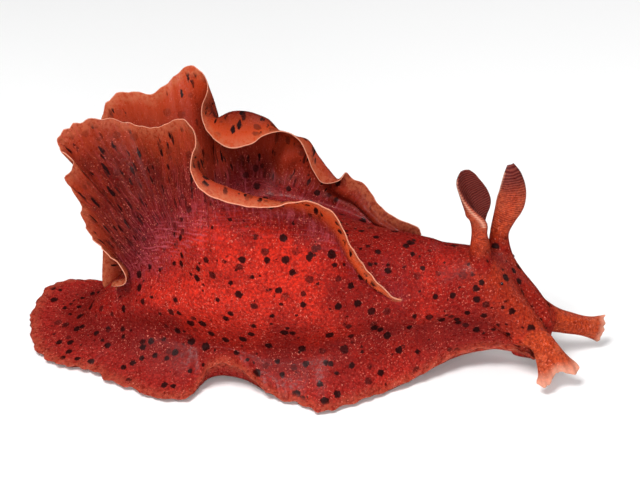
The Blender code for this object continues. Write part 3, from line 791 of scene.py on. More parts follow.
FOOT_LENGTHS = {
    side: lengths_by_row(lambda row: Vector(along(FOOT_MARGIN[side], row))) for side in (RIGHT, LEFT)
}
FLAP_LENGTHS = {
    side: lengths_by_row(
        lambda row: flap_point(side, min(max(row, FLAP_REAR_ROW), FLAP_FRONT_ROW), 1)
    )
    for side in (RIGHT, LEFT)
}


def length_at(lengths, row):
    """The running length of a margin at a row."""
    i = min(max(int(row * LENGTHS_PER_ROW), 0), len(lengths) - 2)
    return lengths[i] + (lengths[i + 1] - lengths[i]) * (row * LENGTHS_PER_ROW - i)


def warmth(side, point):
    """How orange the head is: most along the line from a rhinophore's root to the oral tentacle."""
    start, end = WARM_LINE[side]
    _, share = geometry.intersect_point_line(point, start, end)
    nearest = start.lerp(end, min(max(share, 0), 1))
    return hump((point - nearest).length, 1, 0, WARM_REACH)


def body_above(row, column):
    """The body's share of the measure that the parapodia carry as their height above the valley."""
    if column > ROOT_OUTER_COLUMN:
        level = -BACK_FALL * (column - ROOT_INNER_COLUMN)
    else:
        level = valley(row, 0) - FLANK_FALL * (ROOT_OUTER_COLUMN - column)
    outside = max(FLAP_REAR_ROW - row, row - FLAP_FRONT_ROW, 0)
    return max(level - ROW_FALL * outside, LEAST_ABOVE)


def body_marks(side, row, column, place):
    """The marks of the foot and the body."""
    if column >= MARGIN_COLUMN:
        steps = range(MARGIN_COLUMN, min(column, CREASE_COLUMN) + 1)
    else:
        steps = range(column, MARGIN_COLUMN + 1)
    rim = running_lengths([place(side, row, c) for c in steps])[-1]
    if column > CREASE_COLUMN:
        rim = FAR_FROM_RIM
    out = place(side, row, MARGIN_COLUMN) - place(side, row, SOLE_COLUMN)
    out.z = 0
    length = length_at(FOOT_LENGTHS[side], min(row, FOOT_END_ROW))
    upper = 1 - smooth(0, FOOT_RIPPLE_REACH, rim) if column > SOLE_COLUMN else 0
    # How strongly shade is painted in the crease, fading towards the head
    shade = max(1 - abs(column - CREASE_COLUMN + 0.5) / CREASE_SHADE_COLUMNS, 0)
    return {
        "rim": min(rim, FAR_FROM_RIM),
        "flow": Vector((length, BODY_FLOW, side * SIDE_APART)),
        "lift": Vector((0, 0, upper)),
        "spread": out.normalized() * upper,
        "inner": 1.0 if column >= ROOT_INNER_COLUMN and row < FLAP_FRONT_ROW else 0.0,
        "foot": 1.0 if column < CREASE_COLUMN - 1 else 0.0,
        "above": body_above(row, column),
        "ease": 1.0 if row > SMOOTH_ROW and column >= ROOT_OUTER_COLUMN else 0.0,
        "warm": warmth(side, place(side, row, column)),
        "hollow": shade * (1 - CREASE_FADE * smooth(*CREASE_FADE_ROWS, row)),
    }


def head_marks(side, row, column):
    """The marks of the head."""
    return {
        "rim": FAR_FROM_RIM,
        "flow": Vector((HEAD_FLOW + row, BODY_FLOW, side * SIDE_APART)),
        "above": HEAD_ABOVE,
        "ease": 1.0 if column > CREASE_COLUMN and row < HEAD_END_ROW - 1 else 0.0,
        "warm": warmth(side, head_point(side, row, column)),
    }


def flap_marks(side, row, share, face):
    """The marks of a parapodium."""
    steps = [i / FLAP_MEASURES for i in range(FLAP_MEASURES + 1)]
    rim = running_lengths([flap_point(side, row, share + (1 - share) * step) for step in steps])[-1]
    up = running_lengths([flap_point(side, row, share * step) for step in steps])[-1]
    ends = smooth(*RUFFLES_START, row - FLAP_REAR_ROW)
    ends *= 1 - RUFFLES_LOST * smooth(*RUFFLES_FADE[side], row)
    above = flap_point(side, row, 1) - flap_point(side, row, NEAR_MARGIN)
    return {
        "rim": rim if share < 1 else 0.0,
        "flap": share,
        "flow": Vector((length_at(FLAP_LENGTHS[side], row), up, side * SIDE_APART)),
        "lift": flap_normal(side, row, max(share, NEAR_ROOT)) * share**2 * ends,
        "spread": above.normalized() * share**4 * ends,
        "inner": 0.0 if face > 0 else 1.0,
        "above": valley(row, share) if face > 0 else share,
        "rear": 1 - smooth(*FAN_FADE[side], row),
        "glow": along(GLOW[side], row)[0] * (1 if face > 0 else INNER_GLOW),
    }


def add_sheet(shell, place, marks, rows, columns, holes=()):
    """A grid of faces whose points are put in place, and marked, by row and column."""
    row_steps, column_steps = len(rows) - 1, len(columns) - 1
    made = bmesh.ops.create_grid(shell, x_segments=row_steps, y_segments=column_steps, size=0.5)
    spots = {}
    for vert in made["verts"]:
        i = round((vert.co.x + 0.5) * row_steps)
        j = round((vert.co.y + 0.5) * column_steps)
        spots[vert] = (rows[i], columns[j])
    opened = [
        face
        for face in {f for v in made["verts"] for f in v.link_faces}
        for low_row, high_row, low_column, high_column in holes
        if all(
            low_row <= spots[v][0] <= high_row and low_column <= spots[v][1] <= high_column
            for v in face.verts
        )
    ]
    bmesh.ops.delete(shell, geom=opened, context="FACES")
    kept = [v for v in spots if v.is_valid]
    layers = shell.verts.layers
    for vert in kept:
        vert.co = (place(*spots[vert]) + CENTRING) * MM
        for name, value in marks(*spots[vert]).items():
            kind = layers.float_vector if name in WAY_MARKS else layers.float
            vert[kind[name]] = value
    return kept


def marked_mesh():
    """An empty mesh that is ready to hold the marks."""
    shell = bmesh.new()
    for name in NUMBER_MARKS:
        shell.verts.layers.float.new(name)
    for name in WAY_MARKS:
        shell.verts.layers.float_vector.new(name)
    return shell


def feeler_ring(feeler, share, angle):
    """A point round a feeler whose section opens from an oval into a gutter."""
    x, y, z, half_width, half_depth, groove = along(feeler.table, share)
    before = Vector(along(feeler.table, max(share - FEELER_STEP, 0))[:3])
    after = Vector(along(feeler.table, min(share + FEELER_STEP, 1))[:3])
    forward = (after - before).normalized()
    low_way, tip_way = feeler.groove
    turned = low_way.lerp(tip_way, smooth(TURN_SHARE, 1, share))
    across = forward.cross(turned).normalized()
    open_way = across.cross(forward)
    wide = half_width * math.cos(angle)
    deep = half_depth * math.sin(angle)
    if deep > 0:
        deep *= 1 - groove * math.sin(angle) ** LIP_ROUNDING
    aside = abs(math.cos(angle))
    corner = smooth(*CORNER_ACROSS, aside) * smooth(SPREAD_SHARE, 1, share)
    corner *= 1 - CORNER_ROUNDING * smooth(SPREAD_SHARE, 1, aside)
    reach = forward * feeler.hollow - open_way * abs(feeler.hollow) * CORNER_BEND
    return Vector((x, y, z)) + across * wide + open_way * deep + reach * corner


def feeler_marks(feeler, share, angle):
    """The marks of a rhinophore or an oral tentacle."""
    x, y, z, half_width, half_depth, groove = along(feeler.table, share)
    opened = smooth(OPEN_GROOVE, 1, groove)
    points = [Vector(along(feeler.table, i / LENGTH_STEPS)[:3]) for i in range(LENGTH_STEPS + 1)]
    length = running_lengths(points)[-1]
    rim = FAR_FROM_RIM + (half_width * (1 - abs(math.cos(angle))) - FAR_FROM_RIM) * opened
    to_tip = length * (1 - share) + (HORN_RIM if feeler.mark == "horn" else 0)
    marks = {
        feeler.mark: share,
        "ease": 1.0 if share < feeler.start + SMOOTH_ROOT else 0.0,
        "above": HEAD_ABOVE,
        "rim": min(rim, to_tip),
        "inner": max(math.sin(angle), 0) * opened,
        "flow": Vector((half_width * math.cos(angle), length * share, half_depth * math.sin(angle))),
    }
    if feeler.mark == "tentacle":
        before = Vector(along(feeler.table, share - FEELER_STEP)[:3])
        forward = (Vector((x, y, z)) - before).normalized()
        across = forward.cross(feeler.groove[1]).normalized()
        marks["lift"] = across.cross(forward) * smooth(SPREAD_SHARE, 1, share)
        marks["spread"] = forward * smooth(GROWTH_SHARE, 1, share)
    return marks


def round_out(verts, towards):
    """Draws the edge of an opening towards a circle, seen along the feeler that will fill it."""
    middle = sum((v.co for v in verts), Vector()) / len(verts)
    axis = (towards - middle).normalized()
    flat = {v: (v.co - middle) - axis * (v.co - middle).dot(axis) for v in verts}
    radius = sum(way.length for way in flat.values()) / len(flat)
    for vert, way in flat.items():
        vert.co += way.normalized() * (radius - way.length) * ROUNDING


def join_feeler(shell, feeler):
    """Grows a feeler, whose tip closes to a thin edge, from the opening that lies nearest to its root."""
    openings = {e for e in shell.edges if e.is_boundary}

    def at(row, column):
        share = feeler.start + (1 - feeler.start) * row / feeler.rings
        return share, math.tau * column / FEELER_SIDES

    def place(row, column):
        share, angle = at(row, column)
        point = feeler_ring(feeler, share, angle)
        if row < feeler.rings:
            return point
        return point.lerp(feeler_ring(feeler, 1, -angle), 0.5)

    def marks(row, column):
        return feeler_marks(feeler, *at(row, column))

    verts = add_sheet(shell, place, marks, range(feeler.rings + 1), range(FEELER_SIDES + 1))
    bmesh.ops.remove_doubles(shell, verts=verts, dist=WELD * MM)
    ring = [e for e in shell.edges if e.is_boundary and e not in openings]
    root = sum((e.verts[0].co for e in ring), Vector()) / len(ring)
    nearest = min(openings, key=lambda e: (e.verts[0].co - root).length)
    opening = {nearest}
    while True:
        ends = {v for e in opening for v in e.verts}
        more = {e for e in openings if e.verts[0] in ends or e.verts[1] in ends}
        if more == opening:
            break
        opening = more
    round_out({v for e in opening for v in e.verts}, root)
    bmesh.ops.bridge_loops(shell, edges=ring + list(opening))


def add_flap(shell, side):
    """A parapodium: its outer and inner faces, and the strip that joins them along the free edge."""
    for face in (1, -1):
        add_sheet(
            shell,
            lambda row, share: flap_face(side, row, share, face),
            lambda row, share: flap_marks(side, row, share, face),
            FLAP_ROWS,
            FLAP_SHARES,
        )
    path = [(FLAP_REAR_ROW, share) for share in FLAP_SHARES[:-1]]
    path += [(row, 1) for row in FLAP_ROWS]
    path += [(FLAP_FRONT_ROW, share) for share in reversed(FLAP_SHARES[:-1])]
    add_sheet(
        shell,
        lambda at, face: flap_face(side, *path[at], face),
        lambda at, face: flap_marks(side, *path[at], face),
        range(len(path)),
        (1, -1),
    )


def skin_cage():
    """The closed cage of the whole skin."""
    shell = marked_mesh()
    for side in (RIGHT, LEFT):
        body, foot, head = (partial(place, side) for place in (body_point, foot_point, head_point))
        low_marks = partial(body_marks, side, place=body_point)
        foot_marks = partial(body_marks, side, place=foot_point)
        high_marks = partial(head_marks, side)
        holes = [RHINOPHORE_HOLES[side], TENTACLE_HOLES[side]]
        add_sheet(shell, body, low_marks, TAIL_ROWS, ALL_COLUMNS)
        add_sheet(shell, body, low_marks, FLAP_ROWS, LOW_COLUMNS)
        add_sheet(shell, body, low_marks, FLAP_ROWS, BACK_COLUMNS)
        add_sheet(shell, body, low_marks, NECK_ROWS, ALL_COLUMNS, holes)
        add_sheet(shell, head, high_marks, HEAD_ROWS, HEAD_COLUMNS, holes)
        add_sheet(shell, foot, foot_marks, FOOT_FRONT_ROWS, FOOT_COLUMNS)
        add_flap(shell, side)
    bmesh.ops.remove_doubles(shell, verts=shell.verts, dist=WELD * MM)
    for side in (RIGHT, LEFT):
        for feeler in FEELERS[side]:
            join_feeler(shell, feeler)
    ease = shell.verts.layers.float["ease"]
    soft = [v for v in shell.verts if v[ease] > 0.5]
    axes = {"use_axis_x": True, "use_axis_y": True, "use_axis_z": True}
    for _ in range(SMOOTH_PASSES):
        bmesh.ops.smooth_vert(shell, verts=soft, factor=0.5, **axes)
    for vert in soft:
        point = vert.co / MM - CENTRING
        vert.co.z += brow(point) * smooth(*BROW_HEIGHTS, point.z) * MM
    bmesh.ops.recalc_face_normals(shell, faces=shell.faces)
    return shell


def finished(name, shell):
    """An object of a finished mesh, in the scene."""
    mesh = bpy.data.meshes.new(name)
    shell.to_mesh(mesh)
    shell.free()
    mesh.shade_smooth()
    thing = bpy.data.objects.new(name, mesh)
    bpy.context.scene.collection.objects.link(thing)
    return thing


def rounded_copy(shell, levels):
    """A new mesh: the smooth subdivision of a cage."""
    cage = finished("cage", shell.copy())
    rounding = cage.modifiers.new("rounding", "SUBSURF")
    rounding.levels = rounding.render_levels = levels
    graph = bpy.context.evaluated_depsgraph_get()
    mesh = bpy.data.meshes.new_from_object(cage.evaluated_get(graph))
    rough = cage.data
    bpy.data.objects.remove(cage)
    bpy.data.meshes.remove(rough)
    return mesh


def subdivided(shell, levels):
    """The smooth subdivision of a cage, drawn out first so that the surface passes through its points."""
    placed = [v.co.copy() for v in shell.verts]
    for pull in PULLS:
        reached = rounded_copy(shell, 1)
        for vert, wanted, got in zip(shell.verts, placed, reached.vertices):
            vert.co += (wanted - got.co) * pull
        bpy.data.meshes.remove(reached)
    mesh = rounded_copy(shell, levels)
    shell.free()
    rounded = bmesh.new()
    rounded.from_mesh(mesh)
    bpy.data.meshes.remove(mesh)
    return rounded


def waver(length, wave, seed):
    """An uneven wave between about -1 and 1 along a margin; lengths in millimetres."""
    drift = DRIFT * noise.noise(Vector((length / (DRIFT_LENGTHS * wave), seed, 0.5)))
    steady, change = SWELL
    swell = steady + change * noise.noise(Vector((length / (SWELL_LENGTHS * wave), seed, 7.5)))
    return math.sin(math.tau * (length / wave + drift)) * swell


def waves(length, place, parts, rise=0.0):
    """A sum of uneven waves, each of a height, a length and a seed, over a steady rise."""
    return sum((height * waver(length, wave, place + seed) for height, wave, seed in parts), rise)


def ripple(shell):
    """Gives the free edges of the foot, the parapodia and the tentacles their fine ruffles."""
    numbers, ways = shell.verts.layers.float, shell.verts.layers.float_vector
    lift_mark, spread_mark, flow_mark = ways["lift"], ways["spread"], ways["flow"]
    tentacle, flap = numbers["tentacle"], numbers["flap"]
    for vert in shell.verts:
        lift, spread = vert[lift_mark], vert[spread_mark]
        if lift.length_squared + spread.length_squared < LEAST_WAY:
            continue
        length, _, place = vert[flow_mark]
        if vert[tentacle] > 0:
            fold = TENTACLE_FOLD * math.sin(math.tau * length / TENTACLE_WAVE)
            scallop = waves(length, 0, TENTACLE_SCALLOPS)
        elif vert[flap] > 0:
            fold = waves(length, place, FLAP_FOLDS)
            scallop = waves(length, place, FLAP_SCALLOPS, FLAP_GROWTH)
        else:
            fold = FOOT_RISE + FOOT_FOLD * max(waver(length, FOOT_WAVE, place), FOOT_LEAST_WAVE)
            scallop = waves(length, place, FOOT_SCALLOPS)
        vert.co += (lift * fold + spread * scallop) * MM
    for vert in shell.verts:
        vert.co.z = max(vert.co.z, 0)


class Value:
    """An output of a node, with short ways to reckon on from it."""

    def __init__(self, net, socket):
        self.net = net
        self.socket = socket

    def __add__(self, other):
        return self.net.sum("ADD", self, other)

    def __sub__(self, other):
        return self.net.sum("SUBTRACT", self, other)

    def __rsub__(self, other):
        return self.net.sum("SUBTRACT", other, self)

    def __mul__(self, other):
        return self.net.sum("MULTIPLY", self, other)

    def ramp(self, low, high, start=0.0, end=1.0):
        """A smooth change, between two limits, from a start to an end."""
        node = self.net.add("MapRange", interpolation_type="SMOOTHSTEP")
        for socket, number in zip(node.inputs, (self, low, high, start, end)):
            self.net.feed(socket, number)
        return Value(self.net, node.outputs[0])

    def fall(self, low, high):
        """A smooth fall from 1 to 0 between two limits."""
        return self.ramp(low, high, 1.0, 0.0)

    def most(self, other):
        """The greater of two numbers."""
        return self.net.sum("MAXIMUM", self, other)


class Net:
    """Short ways to add shader nodes to a tree and join them."""

    def __init__(self, tree):
        self.tree = tree

    def add(self, kind, **settings):
        """A new shader node of a kind."""
        node = self.tree.nodes.new("ShaderNode" + kind)
        for name, value in settings.items():
            setattr(node, name, value)
        return node

    def feed(self, socket, value):
        """Joins a value to a socket, or sets the socket to a number, a colour or a vector."""
        if isinstance(value, Value):
            self.tree.links.new(value.socket, socket)
        elif isinstance(value, tuple) and len(value) == 3 and socket.type == "RGBA":
            socket.default_value = (*value, 1)
        else:
            socket.default_value = value

    def sum(self, operation, a, b=0.0):
        """The result of an operation on two numbers."""
        node = self.add("Math", operation=operation)
        self.feed(node.inputs[0], a)
        self.feed(node.inputs[1], b)
        return Value(self, node.outputs[0])

    def vector(self, operation, a, b):
        """The result of an operation on two vectors, or the scaling of one."""
        node = self.add("VectorMath", operation=operation)
        self.feed(node.inputs[0], a)
        self.feed(node.inputs["Scale" if operation == "SCALE" else 1], b)
        return Value(self, node.outputs["Value" if operation == "DISTANCE" else "Vector"])

    def parts(self, kind, whole):
        """The three parts of a vector or a colour."""
        node = self.add(kind)
        self.feed(node.inputs[0], whole)
        return [Value(self, socket) for socket in node.outputs]

    def blend(self, share, a, b):
        """A mix of two colours."""
        node = self.add("Mix", data_type="RGBA", clamp_factor=True)
        self.feed(node.inputs[0], share)
        self.feed(node.inputs[6], a)
        self.feed(node.inputs[7], b)
        return Value(self, node.outputs[2])

    def coats(self, colour, *coats):
        """A colour under coats, each of them a share and a colour."""
        for share, coat in coats:
            colour = self.blend(share, colour, coat)
        return colour

    def mark(self, name, output="Fac"):
        """A mark that the piece carries."""
        node = self.add("Attribute", attribute_name=name, attribute_type="GEOMETRY")
        return Value(self, node.outputs[output])

    def place(self):
        """The place on the piece, in metres."""
        return Value(self, self.add("TexCoord").outputs["Object"])

    def cloud(self, place, scale, detail, roughness, output="Fac"):
        """Soft noise."""
        node = self.add("TexNoise")
        given = {"Vector": place, "Scale": scale, "Detail": detail, "Roughness": roughness}
        for name, value in given.items():
            self.feed(node.inputs[name], value)
        return Value(self, node.outputs[output])

    def set_in(self, tree, **given):
        """A group set into the net, with its inputs fed; gives its outputs."""
        node = self.tree.nodes.new("ShaderNodeGroup")
        node.node_tree = tree
        for name, value in given.items():
            self.feed(node.inputs[name.replace("_", " ")], value)
        return [Value(self, socket) for socket in node.outputs]

    def dress(self, shader, colour, height, strength, distance):
        """Gives a shader its colour and its fine relief."""
        self.feed(shader.inputs["Base Color"], colour)
        bump = self.add("Bump")
        self.feed(bump.inputs["Strength"], strength)
        self.feed(bump.inputs["Distance"], distance)
        self.feed(bump.inputs["Height"], height)
        self.tree.links.new(bump.outputs[0], shader.inputs["Normal"])


def group(name, vector, numbers, outputs):
    """A new shader node group with named sockets: its tree, net and inputs, and its outputs to feed."""
    tree = bpy.data.node_groups.new(name, "ShaderNodeTree")
    tree.interface.new_socket(vector, in_out="INPUT", socket_type="NodeSocketVector")
    for label, value in numbers.items():
        socket = tree.interface.new_socket(label, in_out="INPUT", socket_type="NodeSocketFloat")
        socket.default_value = value
    for label in outputs:
        tree.interface.new_socket(label, in_out="OUTPUT", socket_type="NodeSocketFloat")
    net = Net(tree)
    given = tree.nodes.new("NodeGroupInput").outputs
    made = tree.nodes.new("NodeGroupOutput").inputs
    return tree, net, [Value(net, given[label]) for label in (vector, *numbers)], made


def spots_group():
    """Round spots with ragged edges, of random sizes, some of them missing."""
    numbers = {
        "Spots per Metre": 140.0,
        "Least Radius": 0.12,
        "Most Radius": 0.36,
        "Share Kept": 0.9,
        "Raggedness": 0.0021,
    }
    tree, net, given, made = group("ragged_spots", "Place", numbers, ["Spot"])
    place, per_metre, least, most, share_kept, raggedness = given
    ragged = net.vector("SUBTRACT", net.cloud(place, 700, 3, 0.65, "Color"), (0.5, 0.5, 0.5))
    cells = net.add("TexVoronoi", feature="F1", voronoi_dimensions="3D")
    net.feed(cells.inputs["Vector"], net.vector("ADD", place, net.vector("SCALE", ragged, raggedness)))
    net.feed(cells.inputs["Scale"], per_metre)
    large, kept, strong = net.parts("SeparateColor", Value(net, cells.outputs["Color"]))
    radius = least + (most - least) * large
    disc = Value(net, cells.outputs["Distance"]).fall(radius * 0.8, radius * 1.1)
    kept = net.sum("LESS_THAN", kept, share_kept)
    net.feed(made["Spot"], disc * (kept * strong.ramp(-0.3, 0.35)))
    return tree


def grain_group():
    """Fine pale grains in the skin, and their height."""
    outputs = ["Grain", "Dark Grain", "Mottle", "Height"]
    tree, net, (place,), made = group("skin_grain", "Place", {}, outputs)
    fine = net.cloud(place, 1500, 2, 0.65)
    middle = net.cloud(place, 520, 3, 0.6)
    dots = net.cloud(place, 1050, 3, 0.7).ramp(0.58, 0.71)
    net.feed(made["Grain"], dots)
    net.feed(made["Dark Grain"], net.cloud(place, 800, 2, 0.6).ramp(0.62, 0.42))
    net.feed(made["Mottle"], middle.ramp(0.34, 0.66))
    net.feed(made["Height"], fine * 0.1 + middle * 0.9 + dots * 0.3)
    return tree


def streak_group():
    """Fine lines that run out across a parapodium towards its margin, from the flow in millimetres."""
    tree, net, (flow,), made = group("fan_streaks", "Flow", {}, ["Streak", "Fold"])
    bend = net.cloud(net.vector("MULTIPLY", flow, (0.05, 0.05, 1)), 1.0, 2, 0.5, "Color")
    bent = net.vector("ADD", flow, net.vector("SCALE", bend, 14))
    fine = net.cloud(net.vector("MULTIPLY", bent, (0.7, 0.07, 0.2)), 1.0, 4, 0.65)
    broad = net.cloud(net.vector("MULTIPLY", bent, (0.18, 0.018, 0.2)), 1.0, 2, 0.5)
    net.feed(made["Streak"], fine.ramp(0.48, 0.68))
    net.feed(made["Fold"], broad * 0.6 + fine * 0.4)
    return tree


GRAIN = grain_group()
STREAKS = streak_group()
SPOTS = spots_group()


def material(name, **looks):
    """A new material, its net and its shader with some sockets set."""
    made = bpy.data.materials.new(name)
    made.use_nodes = True
    net = Net(made.node_tree)
    shader = made.node_tree.nodes["Principled BSDF"]
    for socket, value in looks.items():
        net.feed(shader.inputs[socket.replace("_", " ")], value)
    return made, net, shader


def read_skin(net):
    """The places, the marks and the patterns by which the skin is coloured."""
    at = SimpleNamespace(**{name: net.mark(name) for name in NUMBER_MARKS if name != "ease"})
    at.place = net.place()
    at.flow = net.mark("flow", "Vector")
    at.grain, at.dark_grain, at.mottle, at.height = net.set_in(GRAIN, Place=at.place)
    at.streak, at.fold = net.set_in(STREAKS, Flow=at.flow)
    at.patches = net.cloud(at.place, 28, 3, 0.55)
    at.on_flap = at.above.ramp(-0.06, 0.3)
    at.on_feeler = at.horn.ramp(0.15, 0.45).most(at.tentacle.ramp(0.0, 0.45))
    return at


def flank_colour(net, at):
    """The flank, in random patches of bright and deep red, with a painted highlight round its bulge, and
    the foot.
    """
    # Painted highlight: the flank turns bright round the top of its bulge
    bulge_highlight = net.vector("DISTANCE", at.place, (Vector(PAINTED_HIGHLIGHT_PLACE) + CENTRING) * MM).fall(0.015, 0.065)
    patches_and_highlight = (at.patches + bulge_highlight * 0.2).ramp(0.48, 0.76)
    return net.coats(FLANK_DEEP, (patches_and_highlight, FLANK_BRIGHT), (at.foot * 0.6, FOOT_ROSE))


def fan_colour(net, at):
    """The outer faces of the parapodia, brown behind and red in front."""
    return net.coats(
        FLAP_RED,
        (at.rear, FLAP_BROWN),
        (at.patches.ramp(0.35, 0.65), FLAP_ORANGE),
        (at.mottle * 0.3, FLAP_ORANGE),
        (at.rear * at.fold.ramp(0.57, 0.42, 0.0, 0.85), FAN_DARK),
    )


def with_mottle(net, at, colour):
    """Adds the dark mottle, the painted shade of the crease and the valley, the mauve veins, the painted
    light on the inner faces and the pale grain.
    """
    valley_near = at.above.ramp(-0.12, 0.04) * at.above.fall(0.06, 0.42)
    lines = net.cloud(net.vector("MULTIPLY", at.flow, (0.05, 0.75, 0.2)), 1.0, 3, 0.65).ramp(0.5, 0.62)
    ridge = at.above.ramp(-0.22, -0.04) * at.above.fall(0.02, 0.16)
    clusters = net.cloud(at.place, 95, 2, 0.5).ramp(0.35, 0.6, 0.35, 0.95)
    return net.coats(
        colour,
        (at.mottle.fall(0.0, 0.6) * 0.42, MOTTLE_AND_SHADE_DARK),
        (at.dark_grain * 0.5, MOTTLE_AND_SHADE_DARK),
        # Painted shade in the crease between the foot and the flank
        (at.hollow.ramp(0.0, 1.0) * 0.6, MOTTLE_AND_SHADE_DARK),
        # Painted shade along the valley of the parapodia, deeper on the rear fans
        (valley_near * (at.rear * 0.45 + 0.25), VALLEY_SHADE),
        (at.streak * (valley_near * 0.45 + 0.14) * at.above.ramp(-0.15, 0.0), MAUVE),
        (ridge * lines * (at.rear * 0.5 + 0.25), MAUVE),
        # Painted light: orange that brightens the shaded inner faces of the parapodia
        (at.inner * at.flap.ramp(0.1, 0.45) * (at.glow * 0.9), INNER_ORANGE_PAINTED_LIGHT),
        (at.grain * (clusters * at.above.ramp(0.0, 0.5, 1.0, 0.55)), PALE_GRAIN),
    )


def with_bands(net, at, colour):
    """Adds the orange and tan bands along the free edges, and the pale tips of the oral tentacles."""
    band = at.rim.fall(5.0, 26.0) * at.above.ramp(0.0, 0.3)
    tan = at.rim.fall(0.0, 9.0) * at.mottle.ramp(-0.5, 1.0)
    inside = at.inner * (1.0 - at.horn.ramp(0.0, 0.1)) * 0.3
    return net.coats(
        colour,
        (band * at.glow, MARGIN_ORANGE),
        (tan * (at.glow * 0.4 + 0.3 + inside), TAN),
        (at.tentacle.ramp(0.87, 0.98) * 0.7, TIP_PALE),
    )


def rhinophore_ribs(net, at):
    """The wave across the ribs of the rhinophores."""
    _, up, _ = net.parts("SeparateXYZ", at.flow)
    return net.sum("SINE", up * 5.0 + net.cloud(at.place, 220, 2, 0.6) * 7.0)


def with_clubs(net, at, rib, ribbed, colour):
    """Adds the dark clubs of the rhinophores, with their ribs, and their pale lips."""
    club = (at.inner.ramp(0.1, 0.5) * at.horn.ramp(0.35, 0.5)).most(at.horn.ramp(0.68, 0.92))
    lip = at.horn.ramp(0.45, 0.6) * at.rim.fall(0.0, 0.5)
    return net.coats(
        colour,
        (club * 0.92, CLUB_DARK),
        (at.horn.ramp(0.3, 0.5) * rib.ramp(-0.2, -0.9) * 0.35, CLUB_DARK),
        (ribbed * 0.12, PALE_GRAIN),
        (lip * rib.ramp(-0.9, 0.3, 0.2, 0.7), TIP_PALE),
    )


def spots(net, place, per_metre, least, most, kept):
    """Spots of some density, sizes and share kept."""
    looks = {"Spots_per_Metre": per_metre, "Least_Radius": least, "Most_Radius": most, "Share_Kept": kept}
    return net.set_in(SPOTS, Place=place, **looks)[0]


def with_spots(net, at, colour):
    """Adds the black spots: large round ones, small ones, and long ones on the parapodia."""
    large = spots(net, at.place, 138.0, 0.21, 0.34, 0.97)
    small = spots(net, at.place, 230.0, 0.1, 0.28, 0.3)
    long = spots(net, net.vector("MULTIPLY", at.flow, (0.001, 0.00042, 0.01)), 250.0, 0.18, 0.42, 0.85)
    tiny = net.blend(at.on_flap, small, long * 1.1)
    spot = (large * (1.0 - at.on_flap * at.rear * 0.7)).most(tiny * 0.95)
    spot = spot * at.rim.ramp(2.0, 6.0) * at.on_feeler.fall(0.2, 0.7)
    return net.blend(spot * 0.96, colour, SPOT_BLACK)


def wet_skin():
    """Wet crimson skin: mottled, grained, streaked on the parapodia, spotted, with pale free edges."""
    made, net, shader = material(
        "wet_skin",
        Specular_IOR_Level=0.1,
        Subsurface_Weight=0.12,
        Subsurface_Radius=(1.0, 0.25, 0.15),
        Subsurface_Scale=0.002,
    )
    at = read_skin(net)
    rib = rhinophore_ribs(net, at)
    ribbed = at.horn.ramp(0.3, 0.5) * rib.ramp(-0.6, 0.8)
    colour = net.blend(at.on_flap, flank_colour(net, at), fan_colour(net, at))
    colour = net.blend(at.on_feeler.most(at.warm * 0.8), colour, FEELER_ORANGE)
    colour = with_bands(net, at, with_mottle(net, at, colour))
    colour = with_spots(net, at, with_clubs(net, at, rib, ribbed, colour))
    edge = at.rim.fall(0.02, 0.16).most(at.tentacle.ramp(0.95, 1.0))
    net.feed(shader.inputs["Roughness"], at.mottle * 0.36 + 0.24)
    height = at.height * 0.5 + at.fold * (at.flap.ramp(0.02, 0.25) * 1.6) + ribbed * 0.5
    net.dress(shader, net.blend(edge * 0.7, colour, PALE_RIM), height, 0.45, 0.0008)
    return made


def mantle_skin():
    """The mantle and the siphon: smoother and more purple than the skin, with small spots."""
    made, net, shader = material("mantle_skin", Roughness=0.3, Coat_Weight=0.3, Coat_Roughness=0.12)
    place, rim = net.place(), net.mark("rim")
    grain, _, _, height = net.set_in(GRAIN, Place=place)
    colour = net.coats(
        MANTLE_DEEP,
        (net.cloud(place, 60, 3, 0.55).ramp(0.35, 0.65), MANTLE_MAUVE),
        (grain * 0.4, PALE_GRAIN),
        (spots(net, place, 230.0, 0.1, 0.28, 0.5) * 0.9, SPOT_BLACK),
        (rim.fall(0.0, 2.5) * 0.6, TAN),
        (rim.fall(0.2, 0.9) * 0.8, PALE_RIM),
    )
    net.dress(shader, colour, height, 0.6, 0.0006)
    return made


def eye_glass():
    """The black of the eyes, wet and glossy."""
    made, net, shader = material("eye_black", Roughness=0.08, Coat_Weight=1.0)
    shade = net.cloud(net.place(), 2500, 2, 0.5)
    net.feed(shader.inputs["Base Color"], net.blend(shade, EYE_BLACK, EYE_BROWN))
    return made


